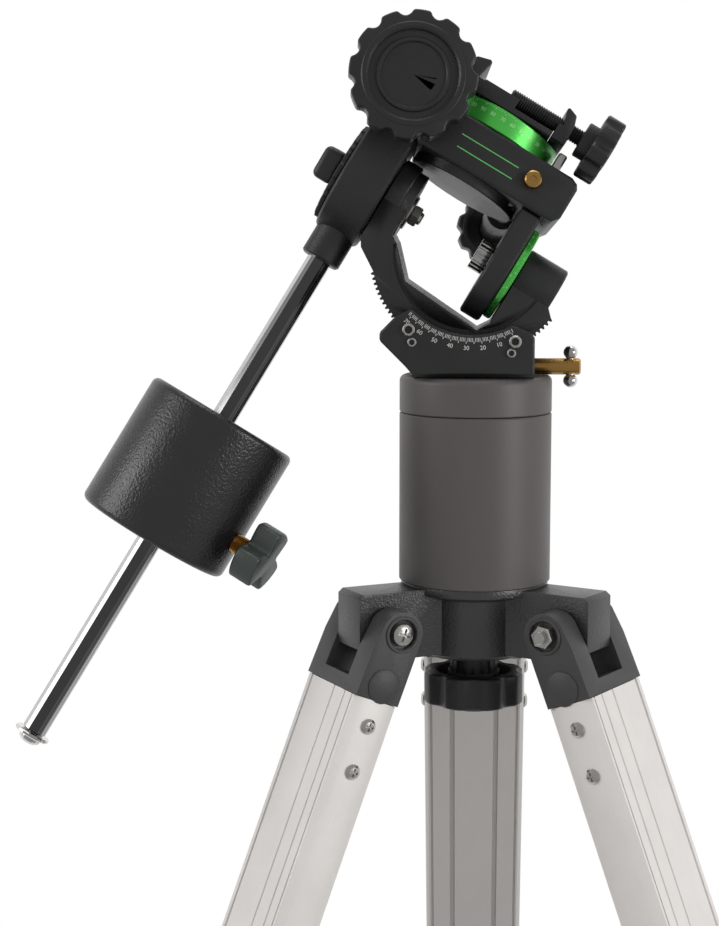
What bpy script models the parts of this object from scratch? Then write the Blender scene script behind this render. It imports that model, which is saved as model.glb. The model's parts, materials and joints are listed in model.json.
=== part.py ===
"""Centre-balanced equatorial telescope mount with a counterweight, on a short pier and a folding tripod.

The tripod stands on z = 0 with its back leg towards +Y. The polar axis leans in the XZ plane.
Every moving group hangs from an empty that stands on its joint axis.
"""

import math

import bmesh
import bpy
from mathutils import Matrix

MM = 0.001
GAP = 0.3 * MM
SEGMENTS = 20
SMALL_SEGMENTS = 12

# Tripod
LEG_SPLAY = math.radians(21.5)
LEG_AZIMUTHS = {"back": 90, "left": 210, "right": 330}
PIVOT_RADIUS = 55 * MM
LEG_WIDTH = 55 * MM
LEG_DEPTH = 24 * MM
LEG_OFFSET = 1.5 * MM
LEG_WALL = 2.2 * MM
LEG_TOP = 34 * MM
UPPER_LEG_LENGTH = 598 * MM
LOWER_LEG_TOP = 300 * MM
LOWER_LEG_SHOWING = 70 * MM
EAR_RADIUS = 11 * MM
EAR_WALL = 14.6 * MM
BRACKET_PLUG = 46 * MM
PIVOT_BOLT_RADIUS = 3 * MM
BOLT_HEAD_RADIUS = 5.5 * MM
COLLAR_WALL = 3 * MM
COLLAR_HEIGHT = 36 * MM
COLLAR_LIP = 10 * MM
LOCK_SCREW_RADIUS = 3 * MM
FOOT_RADIUS = 23 * MM
FOOT_REACH = 16 * MM
FOOT_CENTRE_HEIGHT = 6 * MM
ARM_WIDTH = 24 * MM
ARM_REACH = 70.5 * MM
HUB_HEIGHT = 37 * MM
HUB_RADIUS = 28 * MM
PIVOT_DEPTH = 18.6 * MM
ROD_RADIUS = 5 * MM
HUB_KNOB_RADIUS = 25.5 * MM
HUB_KNOB_HEIGHT = 20 * MM

# Pier
PIER_RADIUS = 38 * MM
PIER_WALL = 4 * MM
PIER_LENGTH = 84.5 * MM
RING_HEIGHT = 18.3 * MM
RING_ROUNDING = 3 * MM
SPIGOT_RADIUS = 12 * MM
SPIGOT_DEPTH = 13.7 * MM

# Latitude stage
LATITUDE_X = -1.5 * MM
LATITUDE_HEIGHT = 61 * MM
ALTITUDE = math.radians(31)
ARC_RADIUS = 50.7 * MM
TOOTH_DEPTH = 1.3 * MM
TOOTH_COUNT = 122
TOOTH_FIRST = -82
TOOTH_LAST = 48
ARC_HALF_WIDTH = 23.5 * MM
HORN_INSET = 0.6 * MM
CHEEK_THICKNESS = 8 * MM
CHEEK_ARC = 39.5 * MM
LATITUDE_WORM_RADIUS = 5.8 * MM
WORM_SHAFT_RADIUS = 4 * MM
T_BAR_LENGTH = 21 * MM
T_BAR_BALL = 3.5 * MM
T_BAR_ROOM = 7 * MM

# Polar (right ascension) axis, distances along it from the latitude centre
RA_REST = math.radians(9)
RA_SHAFT_RADIUS = 7 * MM
CLUTCH_RADIUS = 25 * MM
BLOCK_LEFT = -74.4 * MM
BLOCK_RIGHT = -51.5 * MM
BLOCK_HALF_WIDTH = 28 * MM
BLOCK_TOP = 60 * MM
EYE_RADIUS = 21.9 * MM
EYE_RIGHT = -42 * MM
EYE_RING_RIGHT = -37.5 * MM
RA_WHEEL_X = -63 * MM
RA_WHEEL_RADIUS = 24.5 * MM
RA_WHEEL_WIDTH = 8 * MM
RA_WORM_RADIUS = 7 * MM
RA_KNOB_X = -67 * MM
RA_KNOB_Z = 48.5 * MM
RA_KNOB_PINION = 6 * MM
RA_KNOB_RADIUS = 30.5 * MM
RA_KNOB_FACE = 57 * MM
RA_KNOB_THICKNESS = 13 * MM
ARM_LEFT = 8.8 * MM
ARM_RIGHT = 19.8 * MM
ARM_ROUND = 28.4 * MM
RA_CIRCLE_RADIUS = 24.6 * MM
RA_CIRCLE_WIDTH = 3.8 * MM
HOUSING_RADIUS = 15.6 * MM
HOUSING_RIGHT = 45.6 * MM

# Declination axis, heights above the polar axis
DEC_X = -20.8 * MM
BODY_BOTTOM = 27 * MM
BODY_TOP = 50.5 * MM
BODY_RIGHT = 27.3 * MM
BODY_HALF_WIDTH = 32 * MM
RIM_RADIUS = 28.5 * MM
RIM_BOTTOM = 22.3 * MM
DEC_SHAFT_RADIUS = 9 * MM
DEC_WHEEL_WIDTH = 6 * MM
DEC_WORM_X = 2.9 * MM
DEC_WORM_Z = 29 * MM
DEC_WORM_RADIUS = 4.5 * MM
DEC_KNOB_RADIUS = 19.5 * MM
DEC_KNOB_CENTRE = 95 * MM
DEC_KNOB_THICKNESS = 13 * MM
DEC_BOSS_RADIUS = 8.5 * MM
DEC_BOSS_REACH = 58 * MM
DEC_CIRCLE_RADIUS = 30 * MM
DEC_CIRCLE_HEIGHT = 9.6 * MM
SADDLE_BOTTOM = 62.3 * MM
SADDLE_FLOOR = 70 * MM
SADDLE_HALF_WIDTH = 31 * MM
SADDLE_HALF_LENGTH = 30 * MM
JAW_TOP = 79.2 * MM
CHANNEL_HALF = 20 * MM
JAW_LIP = 2.6 * MM
FLOOR_RELIEF = 3.0 * MM
JAW_CHANNEL = 26.2 * MM
JAW_SLIT = 23.9 * MM
SADDLE_SCREW_RADIUS = 4 * MM
SADDLE_SCREW_Y = -25.5 * MM
SADDLE_KNOB_RADIUS = 16.7 * MM

# Counterweight
BAR_RADIUS = 6 * MM
BAR_END = -315 * MM
BOSS_RADIUS = 10.2 * MM
BOSS_END = -43.4 * MM
WEIGHT_RADIUS = 39.4 * MM
WEIGHT_LENGTH = 69.7 * MM
WEIGHT_CENTRE = -168.9 * MM
WEIGHT_ROUNDING = 3.2 * MM
LOCK_RADIUS = 5 * MM
LOCK_TURN = math.radians(-17)

# Places that follow from the sizes above
LEG_FRONT = LEG_OFFSET + LEG_DEPTH / 2
LEG_BACK = LEG_OFFSET - LEG_DEPTH / 2
UPPER_LEG_BOTTOM = LEG_TOP + GAP + UPPER_LEG_LENGTH
LOWER_LEG_BOTTOM = UPPER_LEG_BOTTOM + LOWER_LEG_SHOWING
FOOT_POINT = LOWER_LEG_BOTTOM + FOOT_REACH
PIVOT_Z = FOOT_CENTRE_HEIGHT + FOOT_POINT * math.cos(LEG_SPLAY) - LEG_OFFSET * math.sin(LEG_SPLAY)
FOOT_CIRCLE = PIVOT_RADIUS + FOOT_POINT * math.sin(LEG_SPLAY) + LEG_OFFSET * math.cos(LEG_SPLAY)
PIER_Y = -FOOT_CIRCLE / 4
HUB_TOP_Z = PIVOT_Z + PIVOT_DEPTH
RING_TOP_Z = HUB_TOP_Z + PIER_LENGTH + RING_HEIGHT + 2 * GAP
WORM_DEPTH = ARC_RADIUS + GAP + LATITUDE_WORM_RADIUS
RA_WORM_Z = RA_WHEEL_RADIUS + GAP + RA_WORM_RADIUS
RA_WORM_PINION = math.hypot(RA_KNOB_Z - RA_WORM_Z, RA_KNOB_X - RA_WHEEL_X) - RA_KNOB_PINION - GAP
DEC_WHEEL_RADIUS = DEC_WORM_X - DEC_X - DEC_WORM_RADIUS - GAP
CHEEK_INNER = ARC_HALF_WIDTH + GAP
CIRCLE_LEFT = ARM_RIGHT + GAP
CIRCLE_RIGHT = CIRCLE_LEFT + RA_CIRCLE_WIDTH
HOUSING_LEFT = CIRCLE_RIGHT + GAP
CIRCLE_BOTTOM = BODY_TOP + GAP


# --- Scene and materials ---------------------------------------------------------------------------


def clear_scene():
    for item in list(bpy.data.objects):
        bpy.data.objects.remove(item, do_unlink=True)


def material(name, colour, roughness, metallic):
    made = bpy.data.materials.get(name)
    if made:
        return made
    made = bpy.data.materials.new(name)
    made.use_nodes = True
    shader = made.node_tree.nodes["Principled BSDF"]
    shader.inputs["Base Color"].default_value = (*colour, 1)
    shader.inputs["Roughness"].default_value = roughness
    shader.inputs["Metallic"].default_value = metallic
    return made


FINISHES = {
    "satin_black": ((0.035, 0.035, 0.036), 0.45, 0.0),
    "textured_black": ((0.02, 0.02, 0.021), 0.3, 0.0),
    "pier_grey": ((0.09, 0.085, 0.082), 0.4, 0.2),
    "black_plastic": ((0.03, 0.03, 0.03), 0.5, 0.0),
    "grey_plastic": ((0.075, 0.075, 0.078), 0.5, 0.0),
    "rubber": ((0.02, 0.02, 0.02), 0.85, 0.0),
    "silver_aluminium": ((0.68, 0.66, 0.64), 0.35, 0.9),
    "green_anodised": ((0.05, 0.42, 0.05), 0.3, 0.6),
    "brass": ((0.55, 0.36, 0.12), 0.3, 1.0),
    "chrome": ((0.75, 0.75, 0.76), 0.08, 1.0),
    "steel": ((0.5, 0.5, 0.51), 0.3, 1.0),
}


def frame(name, parent=None, location=(0, 0, 0), rotation=(0, 0, 0)):
    """An empty that carries the pieces of one moving group."""
    empty = bpy.data.objects.new(name, None)
    empty.parent = parent
    empty.location = location
    empty.rotation_euler = rotation
    bpy.context.scene.collection.objects.link(empty)
    return empty


def piece(name, shape, finish, parent, location=(0, 0, 0), rotation=(0, 0, 0)):
    """A named sub-part from a bmesh, with its faces outwards and its round faces smooth."""
    bmesh.ops.recalc_face_normals(shape, faces=shape.faces)
    mesh = bpy.data.meshes.new(name)
    shape.to_mesh(mesh)
    shape.free()
    mesh.shade_smooth()
    mesh.set_sharp_from_angle(angle=math.radians(35))
    mesh.materials.append(material(finish, *FINISHES[finish]))
    made = bpy.data.objects.new(name, mesh)
    made.parent = parent
    made.location = location
    made.rotation_euler = rotation
    bpy.context.scene.collection.objects.link(made)
    return made


def boolean(target, shape, operation):
    """Adds a shape to the target, or cuts it out, with a hidden helper in the target's own frame."""
    helper = piece(f"{target.name}_helper", shape, "steel", target)
    helper.hide_render = True
    helper.display_type = "WIRE"
    modifier = target.modifiers.new(operation.title(), "BOOLEAN")
    modifier.operation = operation
    modifier.solver = "EXACT"
    modifier.object = helper


def cut(target, *shapes):
    for shape in shapes:
        boolean(target, shape, "DIFFERENCE")


def add(target, *shapes):
    for shape in shapes:
        boolean(target, shape, "UNION")


# --- Shapes ----------------------------------------------------------------------------------------

AXES = {
    "Z": Matrix.Identity(4),
    "X": Matrix.Rotation(math.radians(90), 4, "Y"),
    "Y": Matrix.Rotation(math.radians(-90), 4, "X"),
}


def turned(outline, axis="Z", centre=(0, 0, 0), segments=SEGMENTS):
    """A lathe shape: the outline is a closed loop of (radius, distance along the axis)."""
    shape = bmesh.new()
    rings = []
    for radius, along in outline:
        count = segments if radius > 1e-9 else 1
        rings.append(
            [
                shape.verts.new(
                    (
                        radius * math.cos(math.tau * i / count),
                        radius * math.sin(math.tau * i / count),
                        along,
                    )
                )
                for i in range(count)
            ]
        )
    for one, two in zip(rings, rings[1:] + rings[:1]):
        if len(one) == len(two) == 1:
            continue
        for i in range(segments):
            j = (i + 1) % segments
            corners = [one[i % len(one)], one[j % len(one)], two[j % len(two)], two[i % len(two)]]
            shape.faces.new(list(dict.fromkeys(corners)))
    place = Matrix.Translation(centre) @ AXES[axis]
    bmesh.ops.transform(shape, matrix=place, verts=shape.verts)
    return shape


def cylinder(radius, start, end, axis="Z", centre=(0, 0, 0), segments=SEGMENTS, chamfer=0.0):
    edge = max(chamfer, 0.0)
    outline = [(0, start), (radius - edge, start)]
    if edge:
        outline += [(radius, start + edge), (radius, end - edge)]
    outline += [(radius - edge, end) if edge else (radius, end), (0, end)]
    return turned(outline, axis, centre, segments)


def ring(inner, outer, start, end, axis="Z", centre=(0, 0, 0), segments=SEGMENTS, chamfer=0.0):
    outline = [(inner, start), (outer - chamfer, start)]
    if chamfer:
        outline += [(outer, start + chamfer), (outer, end - chamfer)]
    outline += [(outer - chamfer, end), (inner, end)]
    return turned(outline, axis, centre, segments)


def prism(outline, start, end, axis="Y"):
    """A straight extrusion. The outline is (x, z) for axis Y, (y, z) for X and (x, y) for Z."""
    place = {
        "X": lambda a, b, c: (c, a, b),
        "Y": lambda a, b, c: (a, c, b),
        "Z": lambda a, b, c: (a, b, c),
    }[axis]
    shape = bmesh.new()
    low = [shape.verts.new(place(a, b, start)) for a, b in outline]
    high = [shape.verts.new(place(a, b, end)) for a, b in outline]
    shape.faces.new(low)
    shape.faces.new(high[::-1])
    for i in range(len(outline)):
        j = (i + 1) % len(outline)
        shape.faces.new([low[j], low[i], high[i], high[j]])
    return shape


def block(low, high, rounding=0.0, segments=2):
    corners = [(low[0], low[1]), (high[0], low[1]), (high[0], high[1]), (low[0], high[1])]
    shape = prism(corners, low[2], high[2], "Z")
    if rounding:
        soften(shape, rounding, segments)
    return shape


def soften(shape, width, segments=2, least=40):
    """Rounds every edge that turns by more than the least angle."""
    bmesh.ops.recalc_face_normals(shape, faces=shape.faces)
    edges = [e for e in shape.edges if e.calc_face_angle(0) > math.radians(least)]
    bmesh.ops.bevel(
        shape,
        geom=edges,
        offset=width,
        segments=segments,
        affect="EDGES",
        profile=0.5,
        clamp_overlap=True,
    )


def below(radius, degrees):
    """A point at this angle from straight down, measured towards -X."""
    angle = math.radians(degrees)
    return -radius * math.sin(angle), -radius * math.cos(angle)


def arc_points(radius, first, last, steps):
    return [below(radius, first + (last - first) * i / steps) for i in range(steps + 1)]


def scalloped(radius, depth, count, steps=4):
    """A round grip outline with shallow rounded scoops between broad lobes."""
    points = []
    for i in range(count * steps):
        angle = math.tau * i / (count * steps)
        scoop = max(0.0, math.cos(count * angle)) ** 0.8
        points.append(
            ((radius - depth * scoop) * math.cos(angle), (radius - depth * scoop) * math.sin(angle))
        )
    return points


# --- Tripod ----------------------------------------------------------------------------------------


def build_hub(tripod):
    """The casting that the three legs hang from, and the lobed knob with its rod under it."""
    hub = piece(
        "tripod_hub",
        turned(
            [
                (0, -HUB_HEIGHT),
                (HUB_RADIUS - 2 * MM, -HUB_HEIGHT),
                (HUB_RADIUS, -HUB_HEIGHT + 2 * MM),
                (HUB_RADIUS, -7 * MM),
                (PIER_RADIUS - 1 * MM, -4 * MM),
                (PIER_RADIUS - 1 * MM, 0),
                (0, 0),
            ]
        ),
        "textured_black",
        tripod,
        location=(0, 0, HUB_TOP_Z),
    )
    half = ARM_WIDTH / 2
    side = [
        (HUB_RADIUS / 2, -HUB_HEIGHT + 2.5 * MM),
        (ARM_REACH - 12 * MM, -HUB_HEIGHT + 2.5 * MM),
        (ARM_REACH, -HUB_HEIGHT + 9 * MM),
        (ARM_REACH, -3 * MM),
        (ARM_REACH - 2.5 * MM, -1 * MM),
        (HUB_RADIUS / 2, -1 * MM),
    ]
    for azimuth in LEG_AZIMUTHS.values():
        turn = Matrix.Rotation(math.radians(azimuth), 4, "Z")
        arm = prism(side, -half, half)
        bmesh.ops.transform(arm, matrix=turn, verts=arm.verts)
        add(hub, arm)
    for azimuth in LEG_AZIMUTHS.values():
        turn = Matrix.Rotation(math.radians(azimuth), 4, "Z")
        reach = half + 2 * MM
        bore = cylinder(
            PIVOT_BOLT_RADIUS + GAP,
            -reach,
            reach,
            "Y",
            (PIVOT_RADIUS, 0, -PIVOT_DEPTH),
            SMALL_SEGMENTS,
        )
        bmesh.ops.transform(bore, matrix=turn, verts=bore.verts)
        cut(hub, bore)
    cut(hub, cylinder(ROD_RADIUS + GAP, -HUB_HEIGHT - 5 * MM, 5 * MM, segments=SMALL_SEGMENTS))

    knob_frame = frame("hub_knob_axis", tripod, (0, 0, HUB_TOP_Z - HUB_HEIGHT - GAP))
    neck = 9.5 * MM
    knob = piece(
        "hub_knob",
        prism(scalloped(HUB_KNOB_RADIUS, 3 * MM, 10), -neck - HUB_KNOB_HEIGHT, -neck, "Z"),
        "black_plastic",
        knob_frame,
    )
    add(knob, cylinder(11.5 * MM, -neck - 2 * MM, 0, segments=SMALL_SEGMENTS))
    dish = HUB_KNOB_RADIUS - 7 * MM
    cut(knob, ring(13 * MM, dish, -neck - 5 * MM, -neck + 1 * MM, segments=SMALL_SEGMENTS))
    rod_top = HUB_HEIGHT + 18 * MM
    add(knob, cylinder(ROD_RADIUS, -neck - 2 * MM, rod_top, segments=SMALL_SEGMENTS))


def leg_section(inset):
    """The leg's rectangular section (x, y), inset all round."""
    half = LEG_WIDTH / 2 - inset
    return (LEG_BACK + inset, -half), (LEG_FRONT - inset, half)


def leg_box(inset, bottom, top, rounding=0.0):
    (x0, y0), (x1, y1) = leg_section(inset)
    return block((x0, y0, -bottom), (x1, y1, -top), rounding)


def build_leg(tripod, side, azimuth):
    """One leg: fork bracket, outer extrusion, collar, sliding lower leg, foot and its two screws."""
    turn = math.radians(azimuth)
    pivot = (PIVOT_RADIUS * math.cos(turn), PIVOT_RADIUS * math.sin(turn), PIVOT_Z)
    spoke = frame(f"leg_{side}_spoke", tripod, pivot, (0, 0, turn))
    leg = frame(f"leg_{side}_axis", spoke, rotation=(0, -LEG_SPLAY, 0))

    half = LEG_WIDTH / 2
    inner = half - EAR_WALL
    ear = [(LEG_BACK, -LEG_TOP), (LEG_FRONT, -LEG_TOP), (LEG_FRONT - 1 * MM, -10 * MM)]
    ear += [(-x, -z) for x, z in arc_points(EAR_RADIUS, 75, -90, 12)]
    bracket = piece(f"leg_bracket_{side}", prism(ear, -half, half), "grey_plastic", leg)
    slot_floor = -LEG_TOP + 7 * MM
    cut(
        bracket,
        block((-40 * MM, -inner, slot_floor), (40 * MM, inner, 20 * MM)),
        cylinder(PIVOT_BOLT_RADIUS + GAP, -40 * MM, 40 * MM, "Y", segments=SMALL_SEGMENTS),
        cylinder(7.4 * MM, half - 2 * MM, half + 5 * MM, "Y", segments=SMALL_SEGMENTS),
        cylinder(7.4 * MM, -half - 5 * MM, -half + 2 * MM, "Y", segments=SMALL_SEGMENTS),
    )
    add(bracket, leg_box(LEG_WALL + GAP, LEG_TOP + BRACKET_PLUG, LEG_TOP - 3 * MM))

    seat = half - 2 * MM + GAP
    bolt = piece(
        f"leg_pivot_bolt_{side}",
        turned(
            [
                (0, -seat - 8 * MM),
                (PIVOT_BOLT_RADIUS, -seat - 8 * MM),
                (PIVOT_BOLT_RADIUS, seat),
                (BOLT_HEAD_RADIUS, seat),
                (BOLT_HEAD_RADIUS, seat + 2 * MM),
                (BOLT_HEAD_RADIUS - 2 * MM, seat + 3.4 * MM),
                (0, seat + 3.8 * MM),
            ],
            "Y",
            segments=SMALL_SEGMENTS,
        ),
        "steel",
        leg,
    )
    add(bolt, cylinder(BOLT_HEAD_RADIUS, -seat - 5 * MM, -seat, "Y", segments=6))

    profile = leg_box(0, UPPER_LEG_BOTTOM, LEG_TOP + GAP, 2 * MM)
    upper = piece(f"leg_upper_{side}", profile, "silver_aluminium", leg)
    cut(upper, leg_box(LEG_WALL, UPPER_LEG_BOTTOM + 5 * MM, LEG_TOP - 5 * MM))

    collar_top = UPPER_LEG_BOTTOM + COLLAR_LIP - COLLAR_HEIGHT
    collar_bottom = UPPER_LEG_BOTTOM + COLLAR_LIP
    collar = piece(
        f"leg_collar_{side}",
        leg_box(-COLLAR_WALL, collar_bottom, collar_top, 1.5 * MM),
        "grey_plastic",
        leg,
    )
    lock_z = -UPPER_LEG_BOTTOM - COLLAR_LIP / 2
    boss_end = LEG_FRONT + COLLAR_WALL + 6 * MM
    add(collar, cylinder(7 * MM, LEG_FRONT, boss_end, "X", (0, 0, lock_z + 2.5 * MM), SMALL_SEGMENTS))
    cut(
        collar,
        leg_box(-GAP, UPPER_LEG_BOTTOM + GAP, collar_top - 5 * MM),
        leg_box(LEG_WALL, collar_bottom + 5 * MM, UPPER_LEG_BOTTOM - 2 * MM),
        cylinder(
            LOCK_SCREW_RADIUS + GAP, LEG_OFFSET, boss_end + 5 * MM, "X", (0, 0, lock_z), SMALL_SEGMENTS
        ),
    )

    lock = frame(f"leg_lock_{side}_axis", leg, (0, 0, lock_z))
    knob = piece(
        f"leg_lock_knob_{side}",
        prism(scalloped(12 * MM, 3.2 * MM, 5, 5), boss_end + GAP, boss_end + 11 * MM, "X"),
        "black_plastic",
        lock,
    )
    tip = LEG_FRONT - LEG_WALL
    add(knob, cylinder(LOCK_SCREW_RADIUS, tip, boss_end + 5 * MM, "X", segments=SMALL_SEGMENTS))

    slide = frame(f"leg_slide_{side}_axis", leg)
    lower = piece(
        f"leg_lower_{side}",
        leg_box(LEG_WALL + GAP, LOWER_LEG_BOTTOM, LOWER_LEG_TOP, 1 * MM),
        "silver_aluminium",
        slide,
    )
    stem = 5.5 * MM
    cut(
        lower,
        cylinder(
            stem + GAP,
            -LOWER_LEG_BOTTOM - 5 * MM,
            -LOWER_LEG_BOTTOM + 22 * MM,
            "Z",
            (LEG_OFFSET, 0, 0),
            SMALL_SEGMENTS,
        ),
    )
    foot_frame = frame(
        f"foot_{side}_seat", slide, (LEG_OFFSET, 0, -FOOT_POINT), (0, LEG_SPLAY, 0)
    )
    drop = FOOT_CENTRE_HEIGHT
    foot = piece(
        f"foot_{side}",
        turned(
            [
                (0, -drop),
                (FOOT_RADIUS - 1.5 * MM, -drop),
                (FOOT_RADIUS, 1.5 * MM - drop),
                (FOOT_RADIUS, 5 * MM - drop),
                (8 * MM, 9.5 * MM - drop),
                (0, 9.5 * MM - drop),
            ],
            segments=24,
        ),
        "rubber",
        foot_frame,
    )
    tilt = Matrix.Rotation(-LEG_SPLAY, 4, "Y")
    for radius, start, end in ((7.5 * MM, 0, FOOT_REACH - GAP), (stem, 2 * MM, FOOT_REACH + 20 * MM)):
        post = cylinder(radius, start, end, segments=SMALL_SEGMENTS)
        bmesh.ops.transform(post, matrix=tilt, verts=post.verts)
        add(foot, post)


# --- Pier ------------------------------------------------------------------------------------------


def build_pier(tripod):
    """The pier tube with its floor, and the top ring with the bearing for the azimuth base."""
    bottom = HUB_TOP_Z + GAP
    inner = PIER_RADIUS - PIER_WALL
    rod = ROD_RADIUS + GAP
    piece(
        "pier_tube",
        turned(
            [
                (rod, 0),
                (PIER_RADIUS - 0.8 * MM, 0),
                (PIER_RADIUS - 0.8 * MM, 2.2 * MM),
                (PIER_RADIUS, 2.6 * MM),
                (PIER_RADIUS, PIER_LENGTH - 0.6 * MM),
                (PIER_RADIUS - 0.6 * MM, PIER_LENGTH),
                (inner, PIER_LENGTH),
                (inner, 10 * MM),
                (rod, 10 * MM),
            ],
            segments=28,
        ),
        "pier_grey",
        tripod,
        location=(0, 0, bottom),
    )
    rounding = RING_ROUNDING
    corner = [
        (
            PIER_RADIUS - rounding + rounding * math.sin(math.radians(a)),
            -rounding + rounding * math.cos(math.radians(a)),
        )
        for a in (90, 45, 0)
    ]
    spigot = inner - GAP
    web = SPIGOT_DEPTH + GAP
    piece(
        "pier_top_ring",
        turned(
            [
                (SPIGOT_RADIUS + GAP, -web),
                (18 * MM, -web),
                (18 * MM, -RING_HEIGHT - 9 * MM),
                (spigot, -RING_HEIGHT - 9 * MM),
                (spigot, -RING_HEIGHT),
                (PIER_RADIUS - 0.6 * MM, -RING_HEIGHT),
                (PIER_RADIUS, -RING_HEIGHT + 0.6 * MM),
                *corner,
                (19 * MM, 0),
                (19 * MM, -3 * MM),
                (SPIGOT_RADIUS + GAP, -3 * MM),
            ],
            segments=28,
        ),
        "pier_grey",
        tripod,
        location=(0, 0, RING_TOP_Z),
    )


# --- Azimuth base ----------------------------------------------------------------------------------


def cheek_outline():
    """The side plate round the latitude centre: concave along the scale, pointed at the left."""
    bottom = GAP + 1.7 * MM - LATITUDE_HEIGHT
    left = -45 * MM
    right = 30 * MM
    outline = arc_points(CHEEK_ARC, 48, -29, 22)
    outline += [(28 * MM, -38.5 * MM), (right, -41 * MM), (right, bottom)]
    outline += [(-29 * MM, bottom), (-32.5 * MM, bottom + 4 * MM)]
    outline += [(left, bottom + 16.5 * MM), (left, bottom + 20.5 * MM), (-37.5 * MM, -31 * MM)]
    return outline


def build_azimuth_base(azimuth):
    """The casting between the two cheeks, with the latitude worm in its floor."""
    centre = (LATITUDE_X, 0, LATITUDE_HEIGHT)
    width = ARC_HALF_WIDTH
    bottom = GAP - LATITUDE_HEIGHT
    outline = arc_points(ARC_RADIUS + 0.6 * MM, 35, -34, 16)
    outline += [(30 * MM, bottom), (-29.5 * MM, bottom)]
    base = piece("azimuth_base", prism(outline, -width, width), "satin_black", azimuth, centre)
    worm = (0, 0, -WORM_DEPTH)
    spigot = cylinder(
        SPIGOT_RADIUS, bottom - GAP - SPIGOT_DEPTH, bottom + 2 * MM, "Z", (-LATITUDE_X, 0, 0), SEGMENTS
    )
    add(base, spigot)
    room = LATITUDE_WORM_RADIUS + GAP
    bolt = 4 * MM
    cut(
        base,
        block((-16 * MM, -room, -WORM_DEPTH - room), (16 * MM, room, -40 * MM)),
        cylinder(WORM_SHAFT_RADIUS + GAP, -40 * MM, 40 * MM, "X", worm, SMALL_SEGMENTS),
        cylinder(
            bolt + GAP,
            bottom - SPIGOT_DEPTH - 5 * MM,
            bottom - 4.5 * MM,
            "Z",
            (-LATITUDE_X, 0, 0),
            SMALL_SEGMENTS,
        ),
    )
    head = -SPIGOT_DEPTH - 2 * GAP
    piece(
        "azimuth_bolt",
        turned(
            [
                (0, head - 3 * MM),
                (16 * MM, head - 3 * MM),
                (16 * MM, head),
                (bolt, head),
                (bolt, -5 * MM),
                (0, -5 * MM),
            ],
            segments=SMALL_SEGMENTS,
        ),
        "steel",
        azimuth,
    )
    for name, sign in (("front", -1), ("rear", 1)):
        near, far = sorted((sign * CHEEK_INNER, sign * (CHEEK_INNER + CHEEK_THICKNESS)))
        shape = prism(cheek_outline(), near, far)
        soften(shape, 0.8 * MM, 1)
        piece(f"base_cheek_{name}", shape, "satin_black", azimuth, centre)


def build_latitude_worm(azimuth):
    """The brass worm shaft across the base, turned by a small chromed T bar."""
    axis = frame("latitude_worm_axis", azimuth, (LATITUDE_X, 0, LATITUDE_HEIGHT - WORM_DEPTH))
    bar = PIER_RADIUS + T_BAR_BALL + T_BAR_ROOM
    end = bar + 5 * MM
    radius = WORM_SHAFT_RADIUS
    step = 14 * MM
    worm = piece(
        "latitude_worm",
        turned(
            [
                (0, -27 * MM),
                (radius, -27 * MM),
                (radius, -step - 1.5 * MM),
                (LATITUDE_WORM_RADIUS, -step),
                (LATITUDE_WORM_RADIUS, step),
                (radius, step + 1.5 * MM),
                (radius, end - 0.6 * MM),
                (radius - 0.6 * MM, end),
                (0, end),
            ],
            "X",
            segments=14,
        ),
        "brass",
        axis,
    )
    pin = 2 * MM
    cut(worm, cylinder(pin + GAP, -10 * MM, 10 * MM, "Z", (bar, 0, 0), 12))
    reach = T_BAR_LENGTH / 2
    outline = [(0, -reach)]
    outline += ball_side(T_BAR_BALL, -reach + T_BAR_BALL, -90, 55)
    outline += [(pin, -reach + 2 * T_BAR_BALL), (pin, reach - 2 * T_BAR_BALL)]
    outline += ball_side(T_BAR_BALL, reach - T_BAR_BALL, -55, 90)
    outline += [(0, reach)]
    piece("latitude_t_bar", turned(outline, "Z", (bar, 0, 0), 16), "chrome", axis)


def ball_side(radius, centre, first, last, steps=5):
    """The (radius, along) points of a ball's side between two latitudes in degrees, poles left out."""
    points = []
    for i in range(steps + 1):
        angle = math.radians(first + (last - first) * i / steps)
        if abs(math.cos(angle)) > 1e-6:
            points.append((radius * math.cos(angle), centre + radius * math.sin(angle)))
    return points


# --- Latitude arc ----------------------------------------------------------------------------------


def arc_outline():
    """The C shaped arc: a toothed outer edge, two horns and a straight-sided opening."""
    root = ARC_RADIUS - TOOTH_DEPTH
    pitch = 360 / TOOTH_COUNT
    outline = []
    count = int((TOOTH_LAST - TOOTH_FIRST) / pitch)
    for i in range(count):
        start = TOOTH_LAST - i * pitch
        for radius, share in ((root, 0.0), (ARC_RADIUS, 0.2), (ARC_RADIUS, 0.5), (root, 0.7)):
            outline.append(below(radius, start - share * pitch))
    right = HOUSING_RIGHT - HORN_INSET
    near_right = HOUSING_LEFT + HORN_INSET
    near_left = EYE_RING_RIGHT - HORN_INSET
    left = BLOCK_RIGHT + GAP + HORN_INSET
    outline += [(right, -4 * MM), (near_right, -4 * MM), (near_right, -25.5 * MM)]
    outline += [(21 * MM, -31.5 * MM), (-21 * MM, -29 * MM), (-34 * MM, -15.5 * MM)]
    outline += [(near_left, -13 * MM), (near_left, 0), (left, 0), (left, -22 * MM), (-48 * MM, -26 * MM)]
    return outline


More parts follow.
